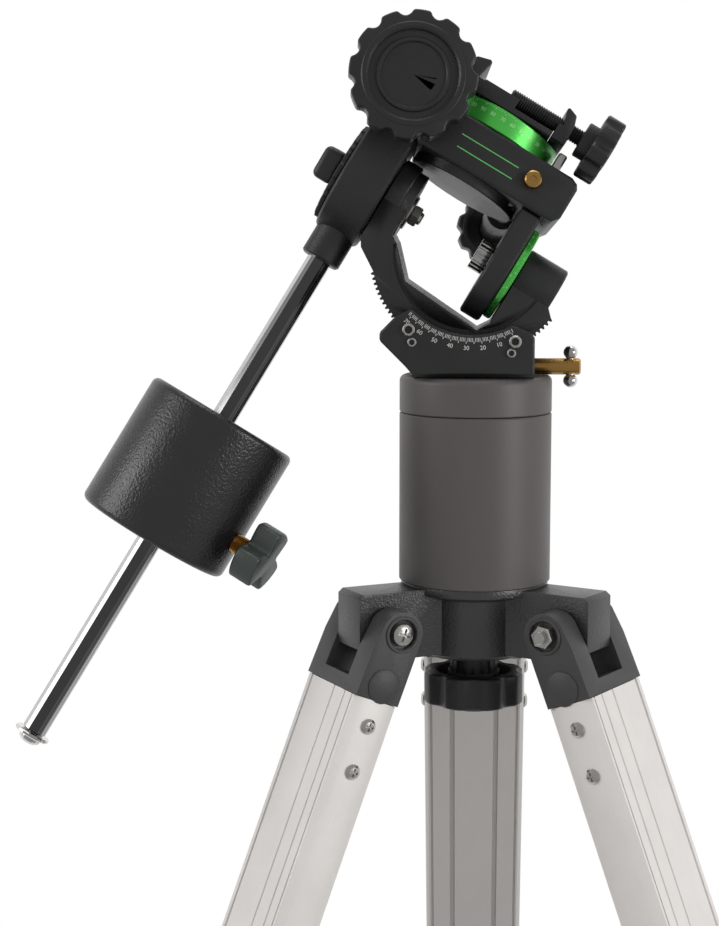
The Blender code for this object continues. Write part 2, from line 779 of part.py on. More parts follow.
def build_arc(latitude):
    """The toothed latitude arc, with the upper bearing eye and the lower bearing housing."""
    width = ARC_HALF_WIDTH - 1 * MM
    arc = piece("latitude_arc", prism(arc_outline(), -width, width), "satin_black", latitude)
    add(
        arc,
        cylinder(EYE_RADIUS, BLOCK_RIGHT + GAP, EYE_RIGHT, "X", segments=24, chamfer=0.8 * MM),
        cylinder(EYE_RADIUS - 2.2 * MM, EYE_RIGHT - 2 * MM, EYE_RING_RIGHT, "X", segments=24),
        cylinder(HOUSING_RADIUS, HOUSING_LEFT, HOUSING_RIGHT, "X", segments=SEGMENTS, chamfer=0.8 * MM),
    )
    bore = RA_SHAFT_RADIUS + GAP
    cut(
        arc,
        cylinder(bore, -60 * MM, -30 * MM, "X", segments=SMALL_SEGMENTS),
        cylinder(bore, 15 * MM, HOUSING_RIGHT - 3 * MM, "X", segments=SMALL_SEGMENTS),
    )
    shaft_end = -30 * MM
    stud = 3 * MM
    shaft = piece(
        "ra_shaft",
        cylinder(RA_SHAFT_RADIUS, BLOCK_LEFT, shaft_end, "X", segments=SMALL_SEGMENTS, chamfer=0.6 * MM),
        "steel",
        latitude,
    )
    cut(shaft, cylinder(stud + GAP, BLOCK_LEFT - 5 * MM, BLOCK_LEFT + 12 * MM, "X", segments=12))
    nut_start = EYE_RING_RIGHT + GAP
    piece(
        "ra_shaft_nut",
        ring(RA_SHAFT_RADIUS + 2 * GAP, 11 * MM, nut_start, nut_start + 5.5 * MM, "X", segments=12),
        "brass",
        latitude,
    )
    half = RA_WHEEL_WIDTH / 2
    piece(
        "ra_worm_wheel",
        ring(
            RA_SHAFT_RADIUS + GAP,
            RA_WHEEL_RADIUS,
            RA_WHEEL_X - half,
            RA_WHEEL_X + half,
            "X",
            segments=28,
            chamfer=0.8 * MM,
        ),
        "brass",
        latitude,
    )
    clutch = frame("ra_clutch_axis", latitude)
    face = BLOCK_LEFT - GAP
    knob = piece(
        "ra_clutch_knob",
        cylinder(CLUTCH_RADIUS, face - 2.6 * MM, face, "X", segments=24, chamfer=0.6 * MM),
        "black_plastic",
        clutch,
    )
    grip = block(
        (face - 12.5 * MM, -CLUTCH_RADIUS + 3 * MM, -8.5 * MM),
        (face - 1 * MM, CLUTCH_RADIUS - 3 * MM, 8.5 * MM),
        2.5 * MM,
    )
    add(knob, grip, cylinder(stud, face - 2 * MM, face + 11 * MM, "X", segments=12))
    circle = frame("ra_circle_axis", latitude)
    piece(
        "ra_setting_circle",
        ring(
            RA_SHAFT_RADIUS + GAP,
            RA_CIRCLE_RADIUS,
            CIRCLE_LEFT,
            CIRCLE_RIGHT,
            "X",
            segments=32,
            chamfer=0.5 * MM,
        ),
        "green_anodised",
        circle,
    )


# --- Rotating head ---------------------------------------------------------------------------------


def build_ra_block(head):
    """The upper bearing block with the slow motion gear chamber and the counterweight boss."""
    half = BLOCK_HALF_WIDTH
    outline = [(y, z) for y, z in arc_points(half + 1 * MM, 90, -90, 20)]
    outline += [(half - 3 * MM, BLOCK_TOP - 8 * MM), (half - 10 * MM, BLOCK_TOP)]
    outline += [(10 * MM - half, BLOCK_TOP), (3 * MM - half, BLOCK_TOP - 8 * MM)]
    shape = prism(outline, BLOCK_LEFT, BLOCK_RIGHT, "X")
    soften(shape, 1.2 * MM, 1, 60)
    body = piece("ra_block", shape, "satin_black", head)
    add(body, cylinder(BOSS_RADIUS, BOSS_END, -22 * MM, "Z", (RA_WHEEL_X, 0, 0), chamfer=1 * MM))
    wheel = RA_WHEEL_WIDTH / 2 + GAP
    worm = (RA_WHEEL_X, 0, RA_WORM_Z)
    knob = (RA_KNOB_X, 0, RA_KNOB_Z)
    pinion_back = -half + 12 * MM
    cut(
        body,
        cylinder(RA_WHEEL_RADIUS + GAP, RA_WHEEL_X - wheel, RA_WHEEL_X + wheel, "X", segments=24),
        cylinder(RA_SHAFT_RADIUS + GAP, -90 * MM, -40 * MM, "X", segments=SMALL_SEGMENTS),
        cylinder(RA_WORM_RADIUS + GAP, pinion_back - 1 * MM, half - 6 * MM, "Y", worm, SMALL_SEGMENTS),
        cylinder(3 * MM + GAP, half - 10 * MM, half + 9 * MM, "Y", worm, SMALL_SEGMENTS),
        cylinder(RA_WORM_PINION + GAP, pinion_back - 7.5 * MM, pinion_back + 0.5 * MM, "Y", worm, SEGMENTS),
        cylinder(RA_KNOB_PINION + GAP, pinion_back - 7 * MM, pinion_back, "Y", knob, SEGMENTS),
        cylinder(WORM_SHAFT_RADIUS + GAP, -half - 9 * MM, 4 * MM, "Y", knob, SMALL_SEGMENTS),
        cylinder(
            BAR_RADIUS + GAP,
            BOSS_END - 5 * MM,
            BOSS_END + 12 * MM,
            "Z",
            (RA_WHEEL_X, 0, 0),
            SMALL_SEGMENTS,
        ),
    )
    build_ra_drive(head, pinion_back)


def build_ra_drive(head, pinion_back):
    """The worm under the wheel, the knob shaft geared to it, and the large slow motion knob."""
    half = BLOCK_HALF_WIDTH
    worm_axis = frame("ra_worm_axis", head, (RA_WHEEL_X, 0, RA_WORM_Z))
    front = pinion_back - 7 * MM + GAP
    piece(
        "ra_worm",
        turned(
            [
                (0, front),
                (RA_WORM_PINION, front),
                (RA_WORM_PINION, pinion_back - GAP),
                (RA_WORM_RADIUS - 2 * MM, pinion_back - GAP),
                (RA_WORM_RADIUS, pinion_back + 1 * MM),
                (RA_WORM_RADIUS, half - 7 * MM),
                (3 * MM, half - 7 * MM),
                (3 * MM, half - 2 * MM),
                (0, half - 2 * MM),
            ],
            "Y",
            segments=14,
        ),
        "brass",
        worm_axis,
    )
    knob_axis = frame("ra_knob_axis", head, (RA_KNOB_X, 0, RA_KNOB_Z))
    knob_back = -RA_KNOB_FACE + RA_KNOB_THICKNESS
    tip = -RA_KNOB_FACE + 5.5 * MM
    radius = WORM_SHAFT_RADIUS
    piece(
        "ra_knob_shaft",
        turned(
            [
                (0, tip),
                (radius, tip),
                (radius, front),
                (RA_KNOB_PINION, front),
                (RA_KNOB_PINION, pinion_back - GAP),
                (radius, pinion_back - GAP),
                (radius, 3 * MM),
                (0, 3 * MM),
            ],
            "Y",
            segments=SMALL_SEGMENTS,
        ),
        "steel",
        knob_axis,
    )
    knob = piece(
        "ra_slow_knob",
        prism(scalloped(RA_KNOB_RADIUS, 2.6 * MM, 12, 5), -RA_KNOB_FACE, knob_back, "Y"),
        "black_plastic",
        knob_axis,
    )
    hub = 10 * MM
    add(knob, cylinder(hub, knob_back - 2 * MM, -half - 4 * MM, "Y", segments=SMALL_SEGMENTS))
    steps = [
        (0, -RA_KNOB_FACE - 2 * MM),
        (22.6 * MM, -RA_KNOB_FACE - 2 * MM),
        (21.4 * MM, -RA_KNOB_FACE + 2.2 * MM),
        (16.6 * MM, -RA_KNOB_FACE + 2.6 * MM),
        (15.6 * MM, -RA_KNOB_FACE + 4.6 * MM),
        (0, -RA_KNOB_FACE + 4.6 * MM),
    ]
    cut(
        knob,
        turned(steps, "Y", segments=24),
        cylinder(radius + GAP, tip - GAP, -half + 2 * MM, "Y", segments=SMALL_SEGMENTS),
    )


def build_dec_housing(head):
    """The upper body that carries the declination bearing, its worm and the brass plug."""
    left = BLOCK_RIGHT + GAP
    half = BODY_HALF_WIDTH
    outline = [(left, BODY_BOTTOM), (BODY_RIGHT - 3 * MM, BODY_BOTTOM), (BODY_RIGHT, BODY_BOTTOM + 4 * MM)]
    outline += [(BODY_RIGHT, BODY_TOP - 4 * MM), (BODY_RIGHT - 1.5 * MM, BODY_TOP - 1.5 * MM)]
    outline += [(BODY_RIGHT - 5 * MM, BODY_TOP), (left, BODY_TOP)]
    shape = prism(outline, -half, half)
    soften(shape, 1.2 * MM, 1, 60)
    body = piece("dec_housing", shape, "satin_black", head)
    worm = (DEC_WORM_X, 0, DEC_WORM_Z)
    centre = (DEC_X, 0, 0)
    plug = (6.4 * MM, 0, 39.5 * MM)
    add(
        body,
        cylinder(RIM_RADIUS, RIM_BOTTOM, BODY_BOTTOM + 2 * MM, "Z", centre, 28, 0.6 * MM),
        cylinder(ARM_LEFT - GAP - DEC_WORM_X, 11 * MM, half + 1 * MM, "Y", worm, SEGMENTS),
        cylinder(DEC_BOSS_RADIUS, ARM_ROUND + 1.5 * MM, DEC_BOSS_REACH, "Y", worm, SEGMENTS, 0.8 * MM),
    )
    wheel = DEC_WHEEL_WIDTH / 2 + GAP
    cut(
        body,
        cylinder(DEC_WHEEL_RADIUS + GAP, DEC_WORM_Z - wheel, DEC_WORM_Z + wheel, "Z", centre, 28),
        cylinder(DEC_SHAFT_RADIUS + GAP, DEC_WORM_Z, BODY_TOP + 9 * MM, "Z", centre, 24),
        cylinder(DEC_WORM_RADIUS + GAP, -10 * MM - GAP, 10 * MM + GAP, "Y", worm, SMALL_SEGMENTS),
        cylinder(3 * MM + GAP, -16 * MM, DEC_BOSS_REACH + 9 * MM, "Y", worm, SMALL_SEGMENTS),
        cylinder(WORM_SHAFT_RADIUS + GAP, -half - 5 * MM, -half + 8 * MM, "Y", plug, SMALL_SEGMENTS),
    )
    piece(
        "dec_bearing_plug",
        cylinder(
            WORM_SHAFT_RADIUS, -half - 4.5 * MM, -half + 8 * MM - GAP, "Y", plug, SMALL_SEGMENTS, 0.6 * MM
        ),
        "brass",
        head,
    )
    piece(
        "dec_index_plate",
        block(
            (10.8 * MM, -24 * MM, CIRCLE_BOTTOM),
            (15.4 * MM, -8 * MM, CIRCLE_BOTTOM + 9 * MM),
            0.8 * MM,
            1,
        ),
        "silver_aluminium",
        head,
    )


def build_dec_drive(head):
    """The declination worm on its long shaft and the smaller slow motion knob behind the body."""
    axis = frame("dec_worm_axis", head, (DEC_WORM_X, 0, DEC_WORM_Z))
    front = DEC_KNOB_CENTRE - DEC_KNOB_THICKNESS / 2
    back = DEC_KNOB_CENTRE + DEC_KNOB_THICKNESS / 2
    shaft = 3 * MM
    piece(
        "dec_worm",
        turned(
            [
                (0, -15 * MM),
                (shaft, -15 * MM),
                (shaft, -10 * MM),
                (DEC_WORM_RADIUS, -10 * MM),
                (DEC_WORM_RADIUS, 10 * MM),
                (shaft, 10 * MM),
                (shaft, back - 4 * MM),
                (0, back - 4 * MM),
            ],
            "Y",
            segments=SMALL_SEGMENTS,
        ),
        "steel",
        axis,
    )
    knob = piece(
        "dec_slow_knob",
        prism(scalloped(DEC_KNOB_RADIUS, 2.2 * MM, 10), front, back, "Y"),
        "black_plastic",
        axis,
    )
    cut(knob, ring(7 * MM, DEC_KNOB_RADIUS - 5 * MM, front - 2 * MM, back - 4.5 * MM, "Y"))
    neck = DEC_BOSS_REACH + 9 * MM
    add(knob, ring(4 * MM, 7 * MM, neck, front + 2 * MM, "Y", segments=SEGMENTS))
    cut(knob, cylinder(shaft + GAP, neck - 2 * MM, back - 4 * MM + GAP, "Y", segments=SMALL_SEGMENTS))


def build_ra_arm(head):
    """The round-ended side arm down to the lower bearing, and the knurled pivot through it."""
    inner = ARM_ROUND
    top = BODY_BOTTOM - GAP
    outline = arc_points(inner, 90, -90, 20)
    outline += [(inner, top), (-inner, top)]
    shape = prism(outline, ARM_LEFT, ARM_RIGHT, "X")
    soften(shape, 1.0 * MM, 1, 60)
    arm = piece("ra_arm", shape, "satin_black", head)
    cut(arm, cylinder(RA_SHAFT_RADIUS + GAP, 0, 30 * MM, "X", segments=SMALL_SEGMENTS))
    head_end = ARM_LEFT - GAP
    grip = prism(scalloped(8 * MM, 0.7 * MM, 16, 2), head_end - 7.5 * MM, head_end, "X")
    pivot = piece("ra_lower_pivot", grip, "chrome", head)
    add(
        pivot,
        cylinder(
            RA_SHAFT_RADIUS, head_end - 2 * MM, HOUSING_RIGHT - 4 * MM, "X", segments=SMALL_SEGMENTS
        ),
    )


# --- Saddle ----------------------------------------------------------------------------------------


def build_saddle(head):
    """The declination shaft and circle with the dovetail saddle, its moving jaw and clamp."""
    dec = frame("dec_axis", head, (DEC_X, 0, 0))
    wheel = DEC_WHEEL_WIDTH / 2
    socket = SADDLE_BOTTOM + 5 * MM
    piece(
        "dec_shaft",
        cylinder(DEC_SHAFT_RADIUS, DEC_WORM_Z - wheel, socket - GAP, segments=14, chamfer=0.6 * MM),
        "steel",
        dec,
    )
    piece(
        "dec_worm_wheel",
        ring(
            DEC_SHAFT_RADIUS + GAP,
            DEC_WHEEL_RADIUS,
            DEC_WORM_Z - wheel,
            DEC_WORM_Z + wheel,
            segments=24,
            chamfer=0.6 * MM,
        ),
        "brass",
        dec,
    )
    piece(
        "dec_setting_circle",
        ring(
            DEC_SHAFT_RADIUS + GAP,
            DEC_CIRCLE_RADIUS,
            CIRCLE_BOTTOM,
            CIRCLE_BOTTOM + DEC_CIRCLE_HEIGHT,
            segments=32,
            chamfer=0.6 * MM,
        ),
        "green_anodised",
        dec,
    )
    half = SADDLE_HALF_WIDTH
    length = SADDLE_HALF_LENGTH
    fixed = [(-half, SADDLE_BOTTOM), (JAW_SLIT - GAP, SADDLE_BOTTOM), (JAW_SLIT - GAP, SADDLE_FLOOR)]
    relief = FLOOR_RELIEF - CHANNEL_HALF
    fixed += [(relief, SADDLE_FLOOR), (relief, SADDLE_FLOOR - 0.8 * MM)]
    fixed += [(-CHANNEL_HALF, SADDLE_FLOOR - 0.8 * MM), (JAW_LIP - CHANNEL_HALF, JAW_TOP - 0.8 * MM)]
    fixed += [(JAW_LIP - CHANNEL_HALF - 1.5 * MM, JAW_TOP), (1.5 * MM - half, JAW_TOP - 4 * MM)]
    fixed += [(-half, JAW_TOP - 6 * MM)]
    base = piece("saddle_base", prism(fixed, -length, length), "satin_black", dec)
    screw = (0, SADDLE_SCREW_Y, SADDLE_FLOOR)
    room = SADDLE_SCREW_RADIUS + 1 * MM
    cut(
        base,
        cylinder(DEC_SHAFT_RADIUS + GAP, SADDLE_BOTTOM - 5 * MM, socket, segments=14),
        block(
            (-11 * MM, SADDLE_SCREW_Y - 6 * MM, SADDLE_FLOOR - room),
            (JAW_SLIT + 5 * MM, SADDLE_SCREW_Y + room, JAW_TOP + 5 * MM),
        ),
        cylinder(SADDLE_SCREW_RADIUS + GAP, -18.5 * MM, 0, "X", screw, SMALL_SEGMENTS),
    )
    jaw_axis = frame("saddle_jaw_axis", dec)
    moving = [(JAW_SLIT, SADDLE_BOTTOM), (half, SADDLE_BOTTOM), (half, JAW_TOP - 6 * MM)]
    moving += [(half - 1.5 * MM, JAW_TOP - 4 * MM), (JAW_CHANNEL - JAW_LIP + 1.5 * MM, JAW_TOP)]
    moving += [(JAW_CHANNEL - JAW_LIP, JAW_TOP - 0.8 * MM), (JAW_CHANNEL, SADDLE_FLOOR + GAP)]
    moving += [(JAW_SLIT, SADDLE_FLOOR + GAP)]
    jaw = piece("saddle_jaw", prism(moving, -length, length), "satin_black", jaw_axis)
    cut(jaw, cylinder(SADDLE_SCREW_RADIUS + GAP, 10 * MM, 40 * MM, "X", screw, SMALL_SEGMENTS))
    clamp = frame("saddle_screw_axis", dec, screw)
    knob_start = half + 6 * MM
    knob_end = knob_start + 15.5 * MM
    piece(
        "saddle_screw",
        cylinder(
            SADDLE_SCREW_RADIUS, -18 * MM, knob_end - 4 * MM, "X", segments=SMALL_SEGMENTS, chamfer=0.5 * MM
        ),
        "textured_black",
        clamp,
    )
    knob = piece(
        "saddle_knob",
        prism(scalloped(SADDLE_KNOB_RADIUS, 2.4 * MM, 8), knob_end - 10 * MM, knob_end, "X"),
        "black_plastic",
        clamp,
    )
    add(knob, cylinder(9 * MM, knob_start, knob_end - 8 * MM, "X", segments=SMALL_SEGMENTS))
    cut(
        knob,
        cylinder(
            SADDLE_SCREW_RADIUS + GAP,
            knob_start - 5 * MM,
            knob_end - 4 * MM + GAP,
            "X",
            segments=SMALL_SEGMENTS,
        ),
    )


# --- Counterweight ---------------------------------------------------------------------------------


def build_counterweight(head):
    """The bar with its safety stop, and the sliding weight with its lock screw."""
    bar_frame = frame("weight_bar_axis", head, (RA_WHEEL_X, 0, 0))
    bar = piece(
        "weight_bar",
        cylinder(BAR_RADIUS, BAR_END, BOSS_END + 12 * MM - GAP, segments=14, chamfer=0.8 * MM),
        "chrome",
        bar_frame,
    )
    thread = 2.5 * MM
    cut(bar, cylinder(thread + GAP, BAR_END - 5 * MM, BAR_END + 14 * MM, segments=12))
    stop = BAR_END - GAP
    piece(
        "bar_safety_screw",
        turned(
            [
                (0, stop - 6 * MM),
                (3.5 * MM, stop - 5.6 * MM),
                (5.5 * MM, stop - 3.6 * MM),
                (5.5 * MM, stop - 2 * MM),
                (8.8 * MM, stop - 2 * MM),
                (8.8 * MM, stop),
                (thread, stop),
                (thread, stop + 13 * MM),
                (0, stop + 13 * MM),
            ],
            segments=14,
        ),
        "chrome",
        bar_frame,
    )
    slide = frame("weight_slide_axis", bar_frame, (0, 0, WEIGHT_CENTRE))
    radius = WEIGHT_RADIUS
    half = WEIGHT_LENGTH / 2
    curve = WEIGHT_ROUNDING
    rounded = []
    for sign, angles in ((-1, (0, 45, 90)), (1, (90, 45, 0))):
        for angle in angles:
            rounded.append(
                (
                    radius - curve + curve * math.sin(math.radians(angle)),
                    sign * (half - curve + curve * math.cos(math.radians(angle))),
                )
            )
    bore = BAR_RADIUS + GAP
    weight = piece(
        "counterweight",
        turned([(bore, -half), *rounded, (bore, half)], segments=32),
        "textured_black",
        slide,
    )
    height = -15 * MM
    lock = frame("weight_lock_axis", slide, (0, 0, height), (0, 0, LOCK_TURN))
    hole = cylinder(LOCK_RADIUS + GAP, 0, radius + 9 * MM, "X", (0, 0, height), SMALL_SEGMENTS)
    turn = Matrix.Rotation(LOCK_TURN, 4, "Z")
    bmesh.ops.transform(hole, matrix=turn, verts=hole.verts)
    cut(weight, hole)
    knob_start = radius + 7 * MM
    piece(
        "weight_lock_screw",
        cylinder(LOCK_RADIUS, bore, knob_start + 8 * MM, "X", segments=SMALL_SEGMENTS, chamfer=0.5 * MM),
        "brass",
        lock,
    )
    knob = piece(
        "weight_lock_knob",
        prism(scalloped(16.5 * MM, 8.5 * MM, 3, 10), knob_start, knob_start + 13 * MM, "X"),
        "black_plastic",
        lock,
    )
    cut(
        knob,
        cylinder(
            LOCK_RADIUS + GAP, knob_start - 5 * MM, knob_start + 8 * MM + GAP, "X", segments=SMALL_SEGMENTS
        ),
    )


def main():
    clear_scene()
    tripod = frame("tripod_axis", location=(0, PIER_Y, 0))
    build_hub(tripod)
    for side, azimuth in LEG_AZIMUTHS.items():
        build_leg(tripod, side, azimuth)
    build_pier(tripod)
    azimuth = frame("azimuth_axis", tripod, (0, 0, RING_TOP_Z))
    build_azimuth_base(azimuth)
    build_latitude_worm(azimuth)
    latitude = frame("latitude_axis", azimuth, (LATITUDE_X, 0, LATITUDE_HEIGHT), (0, ALTITUDE, 0))
    build_arc(latitude)
    head = frame("ra_axis", latitude, rotation=(-RA_REST, 0, 0))
    build_ra_block(head)
    build_dec_housing(head)
    build_dec_drive(head)
    build_ra_arm(head)
    build_saddle(head)
    build_counterweight(head)


main()
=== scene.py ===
"""Finished looks for a centre-balanced equatorial mount with its counterweight, pier and tripod."""

import json
import math

import bpy
from mathutils import Matrix, Vector

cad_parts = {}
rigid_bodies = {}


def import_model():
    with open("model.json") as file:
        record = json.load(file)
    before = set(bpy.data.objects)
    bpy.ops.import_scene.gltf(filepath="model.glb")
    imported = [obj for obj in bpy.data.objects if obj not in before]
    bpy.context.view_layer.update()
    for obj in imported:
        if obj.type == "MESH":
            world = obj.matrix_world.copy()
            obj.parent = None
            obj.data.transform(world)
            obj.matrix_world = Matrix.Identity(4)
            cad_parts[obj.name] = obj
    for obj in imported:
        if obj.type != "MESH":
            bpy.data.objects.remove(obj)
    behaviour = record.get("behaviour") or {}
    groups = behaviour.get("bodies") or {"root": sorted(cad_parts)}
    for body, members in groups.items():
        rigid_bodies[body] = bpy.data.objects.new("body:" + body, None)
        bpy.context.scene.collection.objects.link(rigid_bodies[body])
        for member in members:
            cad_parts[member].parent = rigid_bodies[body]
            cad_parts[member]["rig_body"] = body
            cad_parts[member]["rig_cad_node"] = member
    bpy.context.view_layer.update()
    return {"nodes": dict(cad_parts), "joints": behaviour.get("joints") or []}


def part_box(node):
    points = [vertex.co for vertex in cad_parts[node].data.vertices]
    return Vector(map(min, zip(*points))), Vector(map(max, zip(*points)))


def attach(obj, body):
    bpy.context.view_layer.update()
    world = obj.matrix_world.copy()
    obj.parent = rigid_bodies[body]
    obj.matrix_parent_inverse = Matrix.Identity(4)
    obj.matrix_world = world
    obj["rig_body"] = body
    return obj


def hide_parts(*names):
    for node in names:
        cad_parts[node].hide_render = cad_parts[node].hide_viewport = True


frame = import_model()

bl_info = {
    "name": "Equatorial Mount Finisher",
    "version": (1, 0, 0),
    "blender": (4, 5, 0),
    "location": "3D View > Sidebar > Mount",
    "description": "Builds the finished pieces and materials of an equatorial mount on its frame",
    "category": "Object",
}

MM = 0.001
SIDES = ("back", "left", "right")
JOINTS = {joint["name"]: joint for joint in frame["joints"]}
RING_TO_GROOVE = 18.6 * MM
LEAST_RADIUS = 0.001


# --- Places ----------------------------------------------------------------------------------------


def axes_at(origin, x=None, y=None, z=None):
    """A right-handed place from its origin and any two of its axes."""
    if x is None:
        x = Vector(y).cross(Vector(z))
    elif z is None:
        z = Vector(x).cross(Vector(y))
    x, z = Vector(x).normalized(), Vector(z).normalized()
    y = z.cross(x)
    turn = Matrix((x, y, z)).transposed().to_4x4()
    return Matrix.Translation(origin) @ turn


def axis_of(joint):
    return Vector(JOINTS[joint]["axis"])


def origin_of(joint):
    return Vector(JOINTS[joint]["pos_m"])


PIER = Matrix.Translation(origin_of("azimuth_turn"))
BASE = Matrix.Translation(origin_of("latitude_tilt"))
LATITUDE = axes_at(origin_of("latitude_tilt"), x=axis_of("ra_turn"), y=axis_of("latitude_tilt"))
HEAD = axes_at(origin_of("latitude_tilt"), x=axis_of("ra_turn"), z=axis_of("dec_turn"))
DEC = axes_at(origin_of("dec_turn"), x=axis_of("saddle_jaw_slide"), z=axis_of("dec_turn"))
LEGS = {
    side: axes_at(
        origin_of(f"leg_{side}_fold"),
        x=axis_of(f"leg_{side}_lock_turn"),
        y=axis_of(f"leg_{side}_fold"),
    )
    for side in SIDES
}
BAR_FROM_DEC_AXIS = 63 * MM
WEIGHT_DOWN_BAR = 168.9 * MM
WEIGHT_BAR = HEAD @ Matrix.Translation((-BAR_FROM_DEC_AXIS, 0, 0))
WEIGHT = WEIGHT_BAR @ Matrix.Translation((0, 0, -WEIGHT_DOWN_BAR))
HUB = Matrix.Translation((PIER.translation.x, PIER.translation.y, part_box("tripod_hub")[1].z))
TO_X = Matrix.Rotation(math.radians(90), 4, "Y")
TO_Y = Matrix.Rotation(math.radians(-90), 4, "X")


def size(name):
    """One of the panel's sizes, in millimetres."""
    return round(getattr(bpy.context.scene.mount_sizes, name) / MM, 4)


def along(axis, offset=(0, 0, 0)):
    """Turns a piece that is modelled along Z to lie along X or Y, from this point."""
    turn = {"X": TO_X, "Y": TO_Y, "Z": Matrix.Identity(4)}[axis]
    return Matrix.Translation(Vector(offset) * MM) @ turn


# --- Modelling -------------------------------------------------------------------------------------


def clear_selection():
    if bpy.context.object and bpy.context.object.mode != "OBJECT":
        bpy.ops.object.mode_set(mode="OBJECT")
    bpy.ops.object.select_all(action="DESELECT")


def pick(obj):
    clear_selection()
    obj.select_set(True)
    bpy.context.view_layer.objects.active = obj
    return obj


def edit(obj, mode="VERT"):
    pick(obj)
    bpy.ops.object.mode_set(mode="EDIT")
    bpy.ops.mesh.select_mode(type=mode)
    bpy.ops.mesh.select_all(action="SELECT")


def leave_edit():
    bpy.ops.object.mode_set(mode="OBJECT")
    return bpy.context.object


def circle(name, segments):
    clear_selection()
    bpy.ops.mesh.primitive_circle_add(vertices=segments, radius=1)
    obj = bpy.context.object
    obj.name = obj.data.name = name
    edit(obj)
    return obj


def turned(name, outline, segments=64, closed=False):
    """A turned piece along Z from (radius, height) points in millimetres: solid, or a ring if closed."""
    obj = circle(name, segments)
    outline = [(max(radius, LEAST_RADIUS), height) for radius, height in outline]
    radius, height = outline[0]
    bpy.ops.transform.resize(value=(radius * MM,) * 3, center_override=(0, 0, 0))
    bpy.ops.transform.translate(value=(0, 0, height * MM))
    if not closed:
        bpy.ops.mesh.edge_face_add()
    for wide, high in outline[1:] + (outline[:1] if closed else []):
        bpy.ops.mesh.extrude_region_move(TRANSFORM_OT_translate={"value": (0, 0, (high - height) * MM)})
        scale = wide / radius
        bpy.ops.transform.resize(value=(scale, scale, 1), center_override=(0, 0, high * MM))
        radius, height = wide, high
    bpy.ops.mesh.select_all(action="SELECT")
    bpy.ops.mesh.remove_doubles(threshold=2e-6)
    bpy.ops.mesh.normals_make_consistent(inside=False)
    return leave_edit()


def scooped(name, radius, depth, count, low, high, rounding=1.2, steps=8, power=0.8):
    """A grip along Z with rounded scoops between its lobes, in millimetres."""
    obj = circle(name, count * steps)
    bpy.ops.transform.resize(value=(radius * MM,) * 3, center_override=(0, 0, 0))
    for part in range(steps):
        scoop = max(0.0, math.cos(math.tau * part / steps)) ** power
        if scoop < 0.01:
            continue
        bpy.ops.mesh.select_all(action="DESELECT")
        leave_edit()
        for vertex in obj.data.vertices:
            angle = math.atan2(vertex.co.y, vertex.co.x) % (math.tau / count)
            vertex.select = round(angle / (math.tau / count) * steps) % steps == part
        bpy.ops.object.mode_set(mode="EDIT")
        scale = 1 - depth * scoop / radius
        bpy.ops.transform.resize(value=(scale, scale, 1), center_override=(0, 0, 0))
    bpy.ops.mesh.select_all(action="SELECT")
    bpy.ops.transform.translate(value=(0, 0, low * MM))
    bpy.ops.mesh.edge_face_add()
    bpy.ops.mesh.extrude_region_move(TRANSFORM_OT_translate={"value": (0, 0, (high - low) * MM)})
    bpy.ops.mesh.select_all(action="SELECT")
    bpy.ops.mesh.normals_make_consistent(inside=False)
    leave_edit()
    if rounding:
        rounded(obj, rounding, 3, 50)
    return obj


def plate(name, outline, depth, place=None):
    """A flat closed outline in millimetres, extruded both ways along Z and made a mesh."""
    clear_selection()
    curve = bpy.data.curves.new(name, "CURVE")
    curve.dimensions = "2D"
    curve.fill_mode = "BOTH"
    curve.extrude = depth / 2 * MM
    spline = curve.splines.new("POLY")
    spline.points.add(len(outline) - 1)
    for point, (x, y) in zip(spline.points, outline):
        point.co = (x * MM, y * MM, 0, 1)
    spline.use_cyclic_u = True
    obj = bpy.data.objects.new(name, curve)
    bpy.context.collection.objects.link(obj)
    pick(obj)
    bpy.ops.object.convert(target="MESH")
    obj = bpy.context.object
    edit(obj)
    bpy.ops.mesh.remove_doubles(threshold=1e-6)
    bpy.ops.mesh.dissolve_limited(angle_limit=math.radians(0.5))
    bpy.ops.mesh.normals_make_consistent(inside=False)
    leave_edit()
    return moved(obj, place) if place else obj


def slab(name, low, high, rounding=0.0, segments=2):
    """A block between two corners in millimetres, with its edges rounded."""
    clear_selection()
    size = Vector(high) - Vector(low)
    centre = (Vector(high) + Vector(low)) / 2
    bpy.ops.mesh.primitive_cube_add(size=1, location=centre * MM, scale=size * MM)
    obj = bpy.context.object
    obj.name = obj.data.name = name
    bpy.ops.object.transform_apply(location=True, rotation=True, scale=True)
    if rounding:
        rounded(obj, rounding, segments, 30)
    return obj


def moved(obj, place):
    """Moves a piece's shape, and leaves its object where it is."""
    obj.data.transform(place)
    if place.determinant() < 0:
        edit(obj)
        bpy.ops.mesh.flip_normals()
        leave_edit()
    return obj


def rounded(obj, width, segments=2, angle=30):
    pick(obj)
    bpy.ops.object.modifier_add(type="BEVEL")
    bevel = obj.modifiers[-1]
    bevel.width = width * MM
    bevel.segments = segments
    bevel.limit_method = "ANGLE"
    bevel.angle_limit = math.radians(angle)
    bevel.use_clamp_overlap = True
    bpy.ops.object.modifier_apply(modifier=bevel.name)
    return obj


def combined(obj, tool, operation):
    pick(obj)
    bpy.ops.object.modifier_add(type="BOOLEAN")
    modifier = obj.modifiers[-1]
    modifier.operation = operation
    modifier.solver = "EXACT"
    modifier.object = tool
    bpy.ops.object.modifier_apply(modifier=modifier.name)
    bpy.data.objects.remove(tool, do_unlink=True)
    return obj


def cut(obj, *tools):
    for tool in tools:
        combined(obj, tool, "DIFFERENCE")
    return obj


def joined(name, *parts):
    clear_selection()
    for part in parts:
        part.select_set(True)
    bpy.context.view_layer.objects.active = parts[0]
    bpy.ops.object.join()
    obj = bpy.context.object
    obj.name = obj.data.name = name
    return obj


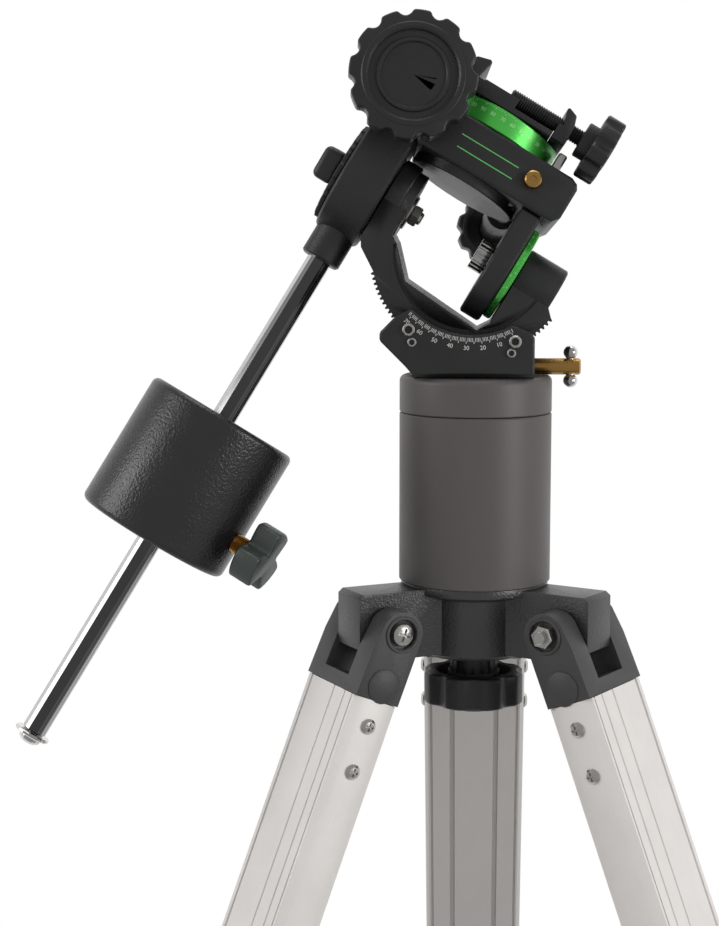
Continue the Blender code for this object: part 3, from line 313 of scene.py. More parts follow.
def copies(obj, places):
    """The piece and its copies at these places, joined into one."""
    made = []
    for place in places:
        pick(obj)
        bpy.ops.object.duplicate()
        made.append(moved(bpy.context.object, place))
    name = obj.name
    bpy.data.objects.remove(obj, do_unlink=True)
    return joined(name, *made)


def around(count, first=0.0, last=360.0):
    """Turns about Z, evenly spaced from the first angle and short of the last, in degrees."""
    step = (last - first) / count
    return [Matrix.Rotation(math.radians(first + step * i), 4, "Z") for i in range(count)]


def refined(node, width, segments=2, angle=30):
    """A copy of a frame node with its triangles merged and its edges rounded."""
    pick(frame["nodes"][node])
    bpy.ops.object.duplicate()
    bpy.ops.object.parent_clear(type="CLEAR")
    obj = bpy.context.object
    obj.name = obj.data.name = f"{node}_finished"
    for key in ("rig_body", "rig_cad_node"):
        if key in obj:
            del obj[key]
    obj.matrix_world = Matrix.Identity(4)
    edit(obj)
    bpy.ops.mesh.remove_doubles(threshold=2e-6)
    bpy.ops.mesh.dissolve_limited(angle_limit=math.radians(1))
    leave_edit()
    if width:
        rounded(obj, width, segments, angle)
    return obj


def lettering(name, words, size, place):
    """Thin raised dial figures in the XY plane of a place."""
    clear_selection()
    bpy.ops.object.text_add()
    obj = bpy.context.object
    obj.data.body = words
    obj.data.size = size * MM
    obj.data.extrude = 0.04 * MM
    obj.data.align_x = "CENTER"
    obj.data.align_y = "CENTER"
    bpy.ops.object.convert(target="MESH")
    obj = bpy.context.object
    obj.name = obj.data.name = name
    return moved(obj, place)


def finish(obj, body, finish_name, nodes=(), smooth=32):
    """Sets a piece's shading and material, and hands it to its moving body."""
    pick(obj)
    bpy.ops.object.transform_apply(location=True, rotation=True, scale=True)
    bpy.ops.object.shade_smooth_by_angle(angle=math.radians(smooth))
    obj.data.materials.clear()
    obj.data.materials.append(FINISHES[finish_name])
    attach(obj, body)
    if nodes:
        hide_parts(*nodes)
    return obj


# --- Materials -------------------------------------------------------------------------------------


def new_group(name, inputs, outputs):
    group = bpy.data.node_groups.new(name, "ShaderNodeTree")
    for label, kind, default in inputs:
        socket = group.interface.new_socket(label, in_out="INPUT", socket_type=kind)
        if default is not None:
            socket.default_value = default
    for label, kind in outputs:
        group.interface.new_socket(label, in_out="OUTPUT", socket_type=kind)
    return group, group.nodes.new("NodeGroupInput"), group.nodes.new("NodeGroupOutput")


def build_grain_group():
    """Fine texture of paint, plastic or a casting: a height for a bump."""
    group, start, end = new_group(
        "surface_grain",
        [
            ("Vector", "NodeSocketVector", None),
            ("Scale", "NodeSocketFloat", 900.0),
            ("Detail", "NodeSocketFloat", 3.0),
        ],
        [("Height", "NodeSocketFloat")],
    )
    noise = group.nodes.new("ShaderNodeTexNoise")
    noise.inputs["Roughness"].default_value = 0.55
    for name in ("Vector", "Scale", "Detail"):
        group.links.new(start.outputs[name], noise.inputs[name])
    group.links.new(noise.outputs["Fac"], end.inputs["Height"])
    return group


def build_marks_group():
    """Handling marks: broad uneven patches that shift colour and roughness a little."""
    group, start, end = new_group(
        "handling_marks",
        [
            ("Vector", "NodeSocketVector", None),
            ("Color", "NodeSocketColor", (0.5, 0.5, 0.5, 1)),
            ("Tint", "NodeSocketColor", (0.6, 0.6, 0.6, 1)),
            ("Amount", "NodeSocketFloat", 0.2),
            ("Roughness", "NodeSocketFloat", 0.4),
            ("Spread", "NodeSocketFloat", 0.08),
            ("Scale", "NodeSocketFloat", 35.0),
        ],
        [("Color", "NodeSocketColor"), ("Roughness", "NodeSocketFloat")],
    )
    noise = group.nodes.new("ShaderNodeTexNoise")
    noise.inputs["Detail"].default_value = 5
    noise.inputs["Roughness"].default_value = 0.62
    group.links.new(start.outputs["Vector"], noise.inputs["Vector"])
    group.links.new(start.outputs["Scale"], noise.inputs["Scale"])
    curve = group.nodes.new("ShaderNodeMapRange")
    curve.inputs["From Min"].default_value = 0.35
    curve.inputs["From Max"].default_value = 0.7
    group.links.new(noise.outputs["Fac"], curve.inputs["Value"])
    amount = group.nodes.new("ShaderNodeMath")
    amount.operation = "MULTIPLY"
    group.links.new(curve.outputs["Result"], amount.inputs[0])
    group.links.new(start.outputs["Amount"], amount.inputs[1])
    mix = group.nodes.new("ShaderNodeMix")
    mix.data_type = "RGBA"
    group.links.new(amount.outputs[0], mix.inputs["Factor"])
    group.links.new(start.outputs["Color"], mix.inputs["A"])
    group.links.new(start.outputs["Tint"], mix.inputs["B"])
    group.links.new(mix.outputs["Result"], end.inputs["Color"])
    shift = group.nodes.new("ShaderNodeMath")
    shift.operation = "MULTIPLY_ADD"
    group.links.new(curve.outputs["Result"], shift.inputs[0])
    group.links.new(start.outputs["Spread"], shift.inputs[1])
    group.links.new(start.outputs["Roughness"], shift.inputs[2])
    group.links.new(shift.outputs[0], end.inputs["Roughness"])
    return group


FINISHES = {}
GROUPS = {}
# Painted shade: the back leg's copy of the leg aluminium is darkened by this factor, as if it stood in the
# other legs' shade.
BACK_LEG_PAINTED_SHADE = 0.6
BRUSHING = 0.012
# Facing range over which the painted dark reflection on polished metals fades back to full colour.
PAINTED_REFLECTION_START, PAINTED_REFLECTION_END = 0.12, 0.5
GRAIN_HEIGHT = 0.4 * MM


def make_finish(
    name,
    color,
    tint,
    roughness,
    metallic=0.0,
    grain=900,
    bump=0.1,
    detail=3,
    spread=0.08,
    amount=0.3,
    marks=35,
    stretch=None,
    specular=0.5,
    painted_reflection_core=1.0,
):
    """A painted, moulded or machined finish. Stretch is a place whose Z is the brushing direction, and
    painted_reflection_core is how much of its base colour a polished metal keeps where it faces straight
    out: a painted dark reflection that fades out towards its rim."""
    material = bpy.data.materials.new(name)
    material.use_nodes = True
    tree = material.node_tree
    shader = tree.nodes["Principled BSDF"]
    shader.inputs["Metallic"].default_value = metallic
    shader.inputs["Specular IOR Level"].default_value = specular
    place = tree.nodes.new("ShaderNodeTexCoord")
    vector = place.outputs["Object"]
    if stretch is not None:
        mapping = tree.nodes.new("ShaderNodeMapping")
        mapping.vector_type = "POINT"
        turn = stretch.to_3x3().inverted().to_euler()
        mapping.inputs["Rotation"].default_value = turn
        tree.links.new(vector, mapping.inputs["Vector"])
        squeeze = tree.nodes.new("ShaderNodeMapping")
        squeeze.inputs["Scale"].default_value = (1, 1, BRUSHING)
        tree.links.new(mapping.outputs["Vector"], squeeze.inputs["Vector"])
        fine = squeeze.outputs["Vector"]
    else:
        fine = vector
    handled = tree.nodes.new("ShaderNodeGroup")
    handled.node_tree = GROUPS["handling_marks"]
    tree.links.new(vector, handled.inputs["Vector"])
    handled.inputs["Color"].default_value = (*color, 1)
    handled.inputs["Tint"].default_value = (*tint, 1)
    handled.inputs["Amount"].default_value = amount
    handled.inputs["Roughness"].default_value = roughness
    handled.inputs["Spread"].default_value = spread
    handled.inputs["Scale"].default_value = marks
    # Painted reflection: the base colour is darkened where the surface faces the camera, standing in for a
    # dark reflection of the room.
    if painted_reflection_core < 1:
        rim = tree.nodes.new("ShaderNodeLayerWeight")
        rim.inputs["Blend"].default_value = 0.5
        painted_reflection_band = tree.nodes.new("ShaderNodeMapRange")
        painted_reflection_band.interpolation_type = "SMOOTHSTEP"
        painted_reflection_band.inputs["From Min"].default_value = PAINTED_REFLECTION_START
        painted_reflection_band.inputs["From Max"].default_value = PAINTED_REFLECTION_END
        painted_reflection_band.inputs["To Min"].default_value = painted_reflection_core
        shade = tree.nodes.new("ShaderNodeMix")
        shade.data_type = "RGBA"
        shade.blend_type = "MULTIPLY"
        shade.inputs["Factor"].default_value = 1
        tree.links.new(rim.outputs["Facing"], painted_reflection_band.inputs["Value"])
        tree.links.new(handled.outputs["Color"], shade.inputs["A"])
        tree.links.new(painted_reflection_band.outputs["Result"], shade.inputs["B"])
        tree.links.new(shade.outputs["Result"], shader.inputs["Base Color"])
    else:
        tree.links.new(handled.outputs["Color"], shader.inputs["Base Color"])
    tree.links.new(handled.outputs["Roughness"], shader.inputs["Roughness"])
    grained = tree.nodes.new("ShaderNodeGroup")
    grained.node_tree = GROUPS["surface_grain"]
    grained.inputs["Scale"].default_value = grain
    grained.inputs["Detail"].default_value = detail
    tree.links.new(fine, grained.inputs["Vector"])
    relief = tree.nodes.new("ShaderNodeBump")
    relief.inputs["Strength"].default_value = bump
    relief.inputs["Distance"].default_value = GRAIN_HEIGHT
    tree.links.new(grained.outputs["Height"], relief.inputs["Height"])
    tree.links.new(relief.outputs["Normal"], shader.inputs["Normal"])
    FINISHES[name] = material
    return material


def build_finishes(settings):
    GROUPS["surface_grain"] = build_grain_group()
    GROUPS["handling_marks"] = build_marks_group()
    casting = settings.casting_color
    make_finish(
        "casting_black",
        casting,
        tint=(0.03, 0.03, 0.031),
        roughness=0.34,
        grain=1500,
        bump=0.4,
        detail=4,
        specular=0.22,
    )
    make_finish(
        "hub_black",
        (0.018, 0.018, 0.0185),
        tint=(0.035,) * 3,
        roughness=0.28,
        bump=0.6,
        specular=0.42,
    )
    make_finish(
        "weight_black",
        settings.weight_color,
        tint=(0.02, 0.02, 0.021),
        roughness=0.24,
        grain=760,
        bump=0.8,
        detail=2,
        spread=0.06,
        specular=0.3,
    )
    make_finish(
        "pier_paint",
        settings.pier_color,
        tint=(0.1, 0.095, 0.09),
        roughness=0.4,
        grain=1300,
        bump=0.2,
        detail=4,
        specular=0.25,
    )
    make_finish(
        "knob_plastic",
        settings.knob_color,
        tint=(0.03,) * 3,
        roughness=0.36,
        grain=1100,
        bump=0.3,
        detail=4,
        specular=0.25,
    )
    make_finish(
        "bracket_plastic",
        (0.042, 0.041, 0.041),
        tint=(0.06, 0.06, 0.06),
        roughness=0.42,
        grain=1400,
        bump=0.4,
        detail=4,
        specular=0.28,
    )
    make_finish(
        "wing_plastic",
        (0.03, 0.04, 0.035),
        tint=(0.05, 0.06, 0.055),
        roughness=0.34,
        grain=1100,
        bump=0.3,
        detail=4,
        specular=0.4,
    )
    make_finish(
        "foot_rubber",
        (0.014,) * 3,
        tint=(0.05, 0.048, 0.045),
        roughness=0.78,
        grain=1200,
        bump=0.5,
        detail=4,
        spread=0.1,
        amount=0.4,
        specular=0.2,
    )
    make_finish(
        "dial_green",
        settings.dial_color,
        tint=(0.1, 0.5, 0.08),
        roughness=0.3,
        metallic=0.45,
        grain=1500,
        bump=0.12,
        specular=0.4,
    )
    make_finish(
        "dial_marks",
        (0.3, 0.66, 0.24),
        tint=(0.22, 0.55, 0.18),
        roughness=0.4,
        metallic=0.2,
        grain=1500,
    )
    make_finish(
        "scale_paint",
        (0.6, 0.6, 0.58),
        tint=(0.4, 0.4, 0.38),
        roughness=0.5,
        grain=1500,
    )
    make_finish(
        "trim_green",
        (0.1, 0.5, 0.1),
        tint=(0.15, 0.4, 0.12),
        roughness=0.4,
        grain=1500,
        bump=0.05,
    )
    make_finish(
        "machined_brass",
        (0.5, 0.29, 0.09),
        tint=(0.3, 0.17, 0.05),
        roughness=0.26,
        metallic=1,
        bump=0.12,
        spread=0.16,
        # Painted dark reflection where the brass faces the camera.
        painted_reflection_core=0.4,
    )
    make_finish(
        "polished_chrome",
        (0.72, 0.71, 0.7),
        tint=(0.55, 0.54, 0.52),
        roughness=0.1,
        metallic=1,
        grain=500,
        bump=0.03,
        detail=2,
        spread=0.07,
        # Painted dark reflection where the chrome faces the camera.
        painted_reflection_core=0.3,
    )
    make_finish(
        "machined_steel",
        (0.5, 0.49, 0.47),
        tint=(0.3, 0.28, 0.25),
        roughness=0.24,
        metallic=1,
        grain=1200,
        bump=0.12,
        spread=0.12,
        # Painted dark reflection where the steel faces the camera.
        painted_reflection_core=0.45,
    )
    make_finish(
        "black_oxide",
        (0.014, 0.014, 0.015),
        tint=(0.04, 0.036, 0.03),
        roughness=0.35,
        metallic=0.2,
        grain=1300,
        bump=0.2,
        specular=0.3,
    )
    make_finish(
        "bar_chrome",
        (0.6,) * 3,
        tint=(0.45,) * 3,
        roughness=0.12,
        metallic=1,
        grain=1600,
        bump=0.03,
        spread=0.05,
        stretch=WEIGHT_BAR,
        # Strong painted dark reflection down the face of the bar.
        painted_reflection_core=0.07,
    )
    for side in SIDES:
        make_finish(
            f"leg_aluminium_{side}",
            # Each leg has its own copy of the aluminium; the back leg's copy has painted shade in its
            # colour.
            [BACK_LEG_PAINTED_SHADE * value if side == "back" else value for value in settings.leg_color],
            tint=(0.5, 0.49, 0.48),
            roughness=0.4,
            metallic=0.25,
            grain=1800,
            bump=0.22,
            spread=0.06,
            amount=0.25,
            stretch=LEGS[side],
            specular=0.35,
        )


# --- Tripod ----------------------------------------------------------------------------------------


def build_hub():
    """The leg casting with its recessed arms."""
    casting = refined("tripod_hub", 1.0, 3, 35)
    finish(casting, "tripod", "hub_black", ["tripod_hub"])


def build_hub_knob():
    grip = scooped("hub_knob_grip", 25.5, 2.6, 8, -25.5, -9.5, 1.4, 10)
    dish = turned("dish", [(19, -8), (18.4, -15), (13.5, -15), (13, -8)], 64, True)
    cut(grip, dish)
    neck = turned("neck", [(0, -14), (11.5, -14), (11.5, -0.6), (10.9, 0), (0, 0)], 48)
    rib = slab("rib", (11, -0.7, -9.5), (12.2, 0.7, -0.8), 0.3)
    ribs = copies(rib, around(16))
    lower = turned("cap", [(0, -26.6), (20, -26.6), (21, -25.8), (21, -24), (0, -24)], 48)
    stem = turned("stem", [(0, -5), (5, -5), (5, 56.5), (4.2, 57.3), (0, 57.3)], 32)
    knob = joined("hub_knob_finished", grip, neck, ribs, lower, stem)
    moved(knob, HUB @ Matrix.Translation((0, 0, -37.3 * MM)))
    finish(knob, "hub_knob", "knob_plastic", ["hub_knob"])


def leg_outline(near):
    """The leg extrusion's section, X outwards, with grooved faces and bulged sides.

    Near is the sign of the side that faces the front."""
    half, front, back = 27.5, 13.5, -10.5
    bulge = 1.6
    outer = ((-21.6, 1.5, 1.0), (4, 0.8, 0.7), (15.5, 0.8, 0.7), (23.2, 1.1, 0.5))
    inner = ((-12, 1.6, 1.5), (12, 1.6, 1.5), (-23.5, 0.9, 0.7), (23.5, 0.9, 0.7))
    points = []
    for face, grooves, sign, low in ((front, outer, near, -1), (back, inner, 1, 1)):
        marks = [(low * 25.2, 0)]
        for centre, depth, reach in sorted((sign * c, d, r) for c, d, r in grooves)[:: -low]:
            marks += [(centre + low * reach, 0), (centre + low * reach * 0.6, depth)]
            marks += [(centre - low * reach * 0.6, depth), (centre - low * reach, 0)]
        marks.append((-low * 25.2, 0))
        points += [(face - math.copysign(depth, face), y) for y, depth in marks]
        for i in range(1, 8):
            share = i / 8
            x = face + (front + back - 2 * face) * (0.04 + 0.92 * share)
            points.append((x, -low * (half - bulge * (2 * share - 1) ** 2)))
    return points


def tube(name, outline, low, high):
    """A straight extrusion from low to high along Z, in millimetres."""
    return plate(name, outline, high - low, Matrix.Translation((0, 0, (high + low) / 2 * MM)))


def build_leg(side):
    place = LEGS[side]
    body = f"leg_{side}"
    top, bottom = -34.3, -632.3
    near = -1 if axis_of(f"leg_{side}_fold").y > 0 else 1
    outer = tube(f"leg_upper_{side}_finished", leg_outline(near), bottom, top)
    room = slab("room", (-8.3, -25.3, bottom - 5), (11.2, 25.3, top + 5))
    cut(outer, room)
    rounded(outer, 0.2, 1, 50)
    moved(outer, place)
    finish(outer, body, f"leg_aluminium_{side}", [f"leg_upper_{side}"], 25)

    bracket = refined(f"leg_bracket_{side}", 1.6, 4, 35)
    bumps = []
    for sign in (-1, 1):
        bump = turned("bump", [(0, -1.5), (8.4, -1.5), (8.4, 0.5), (7.4, 1.1), (0, 1.1)], 40)
        turn = Matrix.Rotation(math.radians(-90 * sign), 4, "X")
        moved(bump, Matrix.Translation((0.5 * MM, sign * 27.5 * MM, -26.5 * MM)) @ turn)
        rim = turned("rim", [(7.4, -1), (9.0, -1), (9.0, 0.5), (8.6, 0.9), (7.8, 0.9), (7.4, 0.5)], 40, True)
        moved(rim, Matrix.Translation((0, sign * 27.5 * MM, 0)) @ turn)
        bumps += [bump, rim]
    for bump in bumps:
        moved(bump, place)
    bracket = joined(f"leg_bracket_{side}_finished", bracket, *bumps)
    finish(bracket, body, "bracket_plastic", [f"leg_bracket_{side}"])

    head = turned("head", [(0, 25.8), (5.5, 25.8), (5.5, 27.6), (5.1, 28.4), (3.6, 29.2), (0, 29.6)], 40)
    for turn in (0, 90):
        slot = slab("slot", (-3.3, -0.6, 27.6), (3.3, 0.6, 31))
        cut(head, moved(slot, Matrix.Rotation(math.radians(turn), 4, "Z")))
    shank = turned("shank", [(0, -33.4), (2.6, -33.4), (3, -33), (3, 27), (0, 27)], 24)
    nut = turned("nut", [(0, -30.8), (5, -30.8), (5.6, -30.2), (5.6, -25.8), (0, -25.8)], 6)
    bolt = joined(f"leg_pivot_bolt_{side}_finished", head, shank, nut)
    moved(bolt, place @ TO_Y)
    finish(bolt, body, "machined_steel", [f"leg_pivot_bolt_{side}"], 25)

    screw = turned("screw", [(0, -1), (4, -1), (3.8, 0.7), (2.5, 1.7), (0, 2.0)], 32)
    for turn in (0, 90):
        slot = slab("slot", (-2.2, -0.45, 0.7), (2.2, 0.45, 3))
        cut(screw, moved(slot, Matrix.Rotation(math.radians(turn), 4, "Z")))
    spots = []
    for sign in (-1, 1):
        for drop in (-47, -70):
            spots.append(
                Matrix.Translation((1.5 * MM, sign * 27.4 * MM, drop * MM))
                @ Matrix.Rotation(math.radians(-90 * sign), 4, "X")
            )
    screws = copies(screw, spots)
    screws.name = f"leg_screws_{side}"
    moved(screws, place)
    finish(screws, body, "machined_steel", (), 25)

    collar = refined(f"leg_collar_{side}", 1.2, 3, 35)
    finish(collar, body, "bracket_plastic", [f"leg_collar_{side}"])
    grip = scooped(f"leg_lock_knob_{side}_finished", 12, 3.2, 5, 22.8, 33.5, 1.2, 10)
    post = turned("post", [(0, 11.3), (3, 11.3), (3, 27), (0, 27)], 24)
    knob = joined(f"leg_lock_knob_{side}_finished", grip, post)
    lock = origin_of(f"leg_{side}_lock_turn")
    moved(knob, axes_at(lock, x=axis_of(f"leg_{side}_lock_turn"), y=axis_of(f"leg_{side}_fold")) @ TO_X)
    finish(knob, f"leg_lock_{side}", "knob_plastic", [f"leg_lock_knob_{side}"])
    lower = refined(f"leg_lower_{side}", 1.2, 3, 35)
    finish(
        lower, f"leg_slide_{side}", f"leg_aluminium_{side}", [f"leg_lower_{side}"], 25
    )
    foot = refined(f"foot_{side}", 0.8, 3, 25)
    finish(foot, f"leg_slide_{side}", "foot_rubber", [f"foot_{side}"], 45)


# --- Pier and azimuth base -------------------------------------------------------------------------


def build_pier():
    radius = size("pier_radius")
    groove, wall, edge, floor = -18.7, 4, 0.5, 10
    low = groove + 0.1 - 84.5
    outline = [(5.3, low), (radius - edge, low), (radius, low + edge), (radius, groove - 0.7)]
    outline += [(radius - edge, groove), (radius - wall, groove)]
    outline += [(radius - wall, low + floor), (5.3, low + floor)]
    shell = turned("pier_tube_finished", outline, 128, True)
    moved(shell, PIER)
    finish(shell, "tripod", "pier_paint", ["pier_tube"])
    lip, corner = radius - 4.3, 3
    outline = [(12.3, -14), (18, -14), (18, -27.3), (lip, -27.3), (lip, -18.3)]
    outline += [(radius - edge, -18.3), (radius, -17.8)]
    for i in range(7):
        angle = math.radians(15 * i)
        outline.append((radius - corner + corner * math.cos(angle), -corner + corner * math.sin(angle)))
    outline += [(19, 0), (19, -3), (12.3, -3)]
    ring = turned("pier_top_ring_finished", outline, 128, True)
    moved(ring, PIER)
    finish(ring, "tripod", "pier_paint", ["pier_top_ring"])


def spots_at(*points):
    """Places at these points of the XY plane, in millimetres."""
    return [Matrix.Translation((x * MM, y * MM, 0)) for x, y in points]


def build_azimuth_base():
    floor = refined("azimuth_base", 0.8, 2, 35)
    finish(floor, "azimuth", "casting_black", ["azimuth_base"])
    bolt = refined("azimuth_bolt", 0.4, 2, 35)
    finish(bolt, "azimuth", "machined_steel", ["azimuth_bolt"])
    for name in ("front", "rear"):
        cheek = refined(f"base_cheek_{name}", 0.9, 3, 30)
        finish(cheek, "azimuth", "casting_black", [f"base_cheek_{name}"])
    scale_face = -31.85
    tick = slab("tick", (-0.13, -42.9, -0.06), (0.13, -41.0, 0.06))
    long_tick = slab("long_tick", (-0.16, -43.8, -0.06), (0.16, -41.0, 0.06))
    plane = BASE @ Matrix.Translation((0, scale_face * MM, 0)) @ Matrix.Rotation(math.radians(90), 4, "X")
    turns = [Matrix.Rotation(math.radians(a), 4, "Z") for a in range(-46, 28)]
    fine = copies(tick, turns)
    coarse = copies(long_tick, turns[2::5])
    figures = []
    for i in range(7):
        turn = Matrix.Rotation(math.radians(10 * i - 43.7), 4, "Z")
        spot = turn @ Matrix.Translation((0, -46 * MM, 0))
        figures.append(lettering("figure", str(70 - 10 * i), 2.9, spot))
    scale = joined("latitude_scale", fine, coarse, *figures)
    moved(scale, plane)
    finish(scale, "azimuth", "scale_paint")
    outline = [(0, -2), (3, -2), (3, 1.6), (2.6, 2), (1.9, 2), (1.7, 1.7), (1.7, -1.6), (0, -1.6)]
    large = turned("head", outline, 32)
    small = turned("head", [(radius * 0.72, high * 0.7) for radius, high in outline], 32)
    large = copies(large, spots_at((-30.8, -37), (20.6, -42.6)))
    small = copies(small, spots_at((-29.2, -43.1), (18.8, -48.2)))
    screws = joined("cheek_screws", large, small)
    moved(screws, plane)
    finish(screws, "azimuth", "machined_steel", (), 25)


def build_latitude_worm():
    outline = [(0, -27), (4, -27), (4, -15.5)]
    for i in range(14):
        outline += [(5.0, -14 + 2 * i), (5.8, -13.3 + 2 * i), (5.8, -12.7 + 2 * i)]
    outline += [(4, 15.5), (4, 52.7), (3.3, 53.5), (0, 53.5)]
    worm = turned("latitude_worm_finished", outline, 48)
    place = Matrix.Translation(origin_of("latitude_worm_turn"))
    moved(worm, place @ TO_X)
    finish(worm, "latitude_worm", "machined_brass", ["latitude_worm"])
    ball, reach = 3.5, 7
    outline = [(0, -reach - ball)]
    for centre, turns in ((-reach, range(-75, 56, 10)), (reach, range(-55, 76, 10))):
        if centre > 0:
            outline += [(2, -3.5), (2, 3.5)]
        for angle in map(math.radians, turns):
            outline.append((ball * math.cos(angle), centre + ball * math.sin(angle)))
    outline.append((0, reach + ball))
    bar = turned("latitude_t_bar_finished", outline, 40)
    moved(bar, place @ Matrix.Translation((48.5 * MM, 0, 0)))
    finish(bar, "latitude_worm", "polished_chrome", ["latitude_t_bar"])


# --- Latitude arc and polar axis -------------------------------------------------------------------


def build_arc():
    arc = refined("latitude_arc", 0.5, 2, 40)
    for sign in (-1, 1):
        groove = turned("groove", [(37.5, -1), (39, -1), (39, 1), (37.5, 1)], 96, True)
        moved(groove, LATITUDE @ Matrix.Translation((0, sign * 22.5 * MM, 0)) @ TO_Y)
        cut(arc, groove)
    finish(arc, "latitude", "casting_black", ["latitude_arc"])
    wheel = refined("ra_worm_wheel", 0.4, 2, 35)
    finish(wheel, "latitude", "machined_brass", ["ra_worm_wheel"])
    outline = [(0, -74.4), (6.4, -74.4), (7, -73.8), (7, -37.6)]
    outline += [(3.2, -37.6), (3.2, -30.6), (2.6, -30), (0, -30)]
    shaft = moved(turned("ra_shaft_finished", outline, 48), LATITUDE @ TO_X)
    finish(shaft, "latitude", "machined_steel", ["ra_shaft"])
    washer = turned("washer", [(3.4, -37.2), (9, -37.2), (9, -36.4), (8.6, -36), (3.4, -36)], 48, True)
    outline = [(3.4, -35.9), (5.2, -35.9), (5.8, -35.3), (5.8, -32.3), (5.2, -31.7), (3.4, -31.7)]
    nut = turned("nut", outline, 6, True)
    nut = moved(joined("ra_shaft_nut_finished", washer, nut), LATITUDE @ TO_X)
    finish(nut, "latitude", "machined_steel", ["ra_shaft_nut"], 25)


def build_clutch():
    outline = [(0, -77.3), (24.4, -77.3), (25, -76.8), (25, -75.3), (24.5, -74.7), (0, -74.7)]
    disc = turned("disc", outline, 96)
    moved(disc, TO_X)
    grip = slab("grip", (-87.2, -22.5, -8.5), (-76, 22.5, 8.5), 3.2, 5)
    stud = turned("stud", [(0, -76), (3, -76), (3, -64), (0, -64)], 24)
    moved(stud, TO_X)
    cap = turned("cap", [(0, -88.2), (6.8, -88.2), (7.6, -87.4), (7.6, -80), (0, -80)], 48)
    moved(cap, TO_X)
    knob = joined("ra_clutch_knob_finished", disc, grip, stud, cap)
    moved(knob, LATITUDE)
    finish(knob, "ra_clutch", "knob_plastic", ["ra_clutch_knob"])


def dial(name, inner, radius, low, high, marks, figures, figure_size, figure_at, tick_low, long_low):
    """A green ring along Z with painted divisions round its rim, and its figures between them."""
    edge = 0.5
    outline = [(inner, low), (radius - edge, low), (radius, low + edge), (radius, high - edge)]
    outline += [(radius - edge, high), (inner, high)]
    ring = turned(name, outline, 144, True)
    tick = slab("tick", (radius - 0.2, -0.14, tick_low), (radius + 0.05, 0.14, high - 0.8))
    ticks = copies(tick, around(marks))
    long_tick = slab("tick", (radius - 0.2, -0.2, long_low), (radius + 0.05, 0.2, high - 0.8))
    parts = [ticks, copies(long_tick, around(marks // 5))]
    quarter = Matrix.Rotation(math.radians(90), 4, "Z")
    upright = Matrix.Translation((radius * MM, 0, figure_at * MM)) @ TO_X @ quarter
    for i, words in enumerate(figures):
        turn = Matrix.Rotation(math.tau * i / len(figures), 4, "Z")
        parts.append(lettering("figure", words, figure_size, turn @ upright))
    return ring, joined(f"{name}_marks", *parts)


def build_ra_circle():
    figures = [str(hour) for hour in range(24)]
    radius = size("ra_circle_radius")
    ring, marks = dial(
        "ra_setting_circle_finished", 7.3, radius, 20.1, 23.9, 96, figures, 1.5, 21.3, 22.7, 22.3
    )
    for part in (ring, marks):
        moved(part, LATITUDE @ TO_X)
    finish(ring, "ra_circle", "dial_green", ["ra_setting_circle"])
    finish(marks, "ra_circle", "dial_marks")


# --- Head ------------------------------------------------------------------------------------------


def build_ra_block():
    block = refined("ra_block", 0.9, 3, 35)
    finish(block, "ra_head", "casting_black", ["ra_block"])
    finish(refined("ra_worm", 0.3, 2, 35), "ra_worm", "machined_brass", ["ra_worm"])
    finish(refined("ra_knob_shaft", 0.3, 2, 35), "ra_knob", "machined_steel", ["ra_knob_shaft"])


def build_slow_knob():
    """The large slow motion knob: a lobed rim with two raised rings round its dish."""
    grip = scooped("grip", 30.5, 2.8, 12, 44, 57, 1.0, 12, 0.7)
    moved(grip, Matrix.Rotation(math.radians(8), 4, "Z"))
    dish = turned("dish", [(0, 60), (22.4, 60), (21.6, 54.9), (0, 54.9)], 96)
    cut(grip, dish)
    outline = [(21.2, 54), (24.6, 54), (24.6, 57.1), (24.1, 57.5), (22.2, 57.5), (21.2, 56.6)]
    rim = turned("rim", outline, 96, True)
    outline = [(15.4, 53.2), (17.6, 53.2), (17.6, 55.9), (17.2, 56.3), (15.9, 56.3), (15.4, 55.8)]
    inner = turned("inner", outline, 96, True)
    pit = turned("pit", [(0, 50), (16, 50), (16, 54.3), (14, 53.4), (0, 53.2)], 96)
    neck = turned("neck", [(0, 46), (10, 46), (10, 32.6), (9.4, 32), (4.3, 32), (0, 33)], 64)
    knob = joined("ra_slow_knob_finished", grip, rim, inner, pit, neck)
    moved(knob, axes_at(origin_of("ra_knob_turn"), x=axis_of("ra_turn"), z=-axis_of("ra_worm_turn")))
    finish(knob, "ra_knob", "knob_plastic", ["ra_slow_knob"])


def build_dec_housing():
    body = refined("dec_housing", 1.0, 3, 35)
    finish(body, "ra_head", "casting_black", ["dec_housing"])
    lines = []
    for low, left in ((34.5, -33), (40.8, -34)):
        lines.append(slab("line", (left, -32.08, low), (-2.4, -31.9, low + 0.45)))
    trim = joined("housing_lines", *lines)
    moved(trim, HEAD)
    finish(trim, "ra_head", "trim_green")
    outline = [(0, 24.4), (4, 24.4), (4, 35.9), (3.4, 36.5), (1.6, 36.5), (1.4, 35.6), (0, 35.6)]
    plug = turned("plug", outline, 40)
    plug = moved(plug, HEAD @ along("Y", (6.4, 0, 39.5)) @ Matrix.Scale(-1, 4, (0, 0, 1)))
    plug.name = "dec_bearing_plug_finished"
    finish(plug, "ra_head", "machined_brass", ["dec_bearing_plug"])
    index = refined("dec_index_plate", 0.5, 2, 35)
    finish(index, "ra_head", "machined_steel", ["dec_index_plate"])
    arm = refined("ra_arm", 0.9, 3, 35)
    finish(arm, "ra_head", "casting_black", ["ra_arm"])


def build_lower_pivot():
    head = scooped("head", 8, 0.7, 20, 1.0, 8.5, 0.5, 6, 1.0)
    pin = turned("pin", [(0, 7), (7, 7), (7, 41), (6.4, 41.6), (0, 41.6)], 48)
    hollow = turned("hollow", [(0, -1), (3.6, -1), (3.2, 3), (0, 3)], 32)
    cut(head, hollow)
    pivot = joined("ra_lower_pivot_finished", head, pin)
    moved(pivot, HEAD @ TO_X)
    finish(pivot, "ra_head", "polished_chrome", ["ra_lower_pivot"])


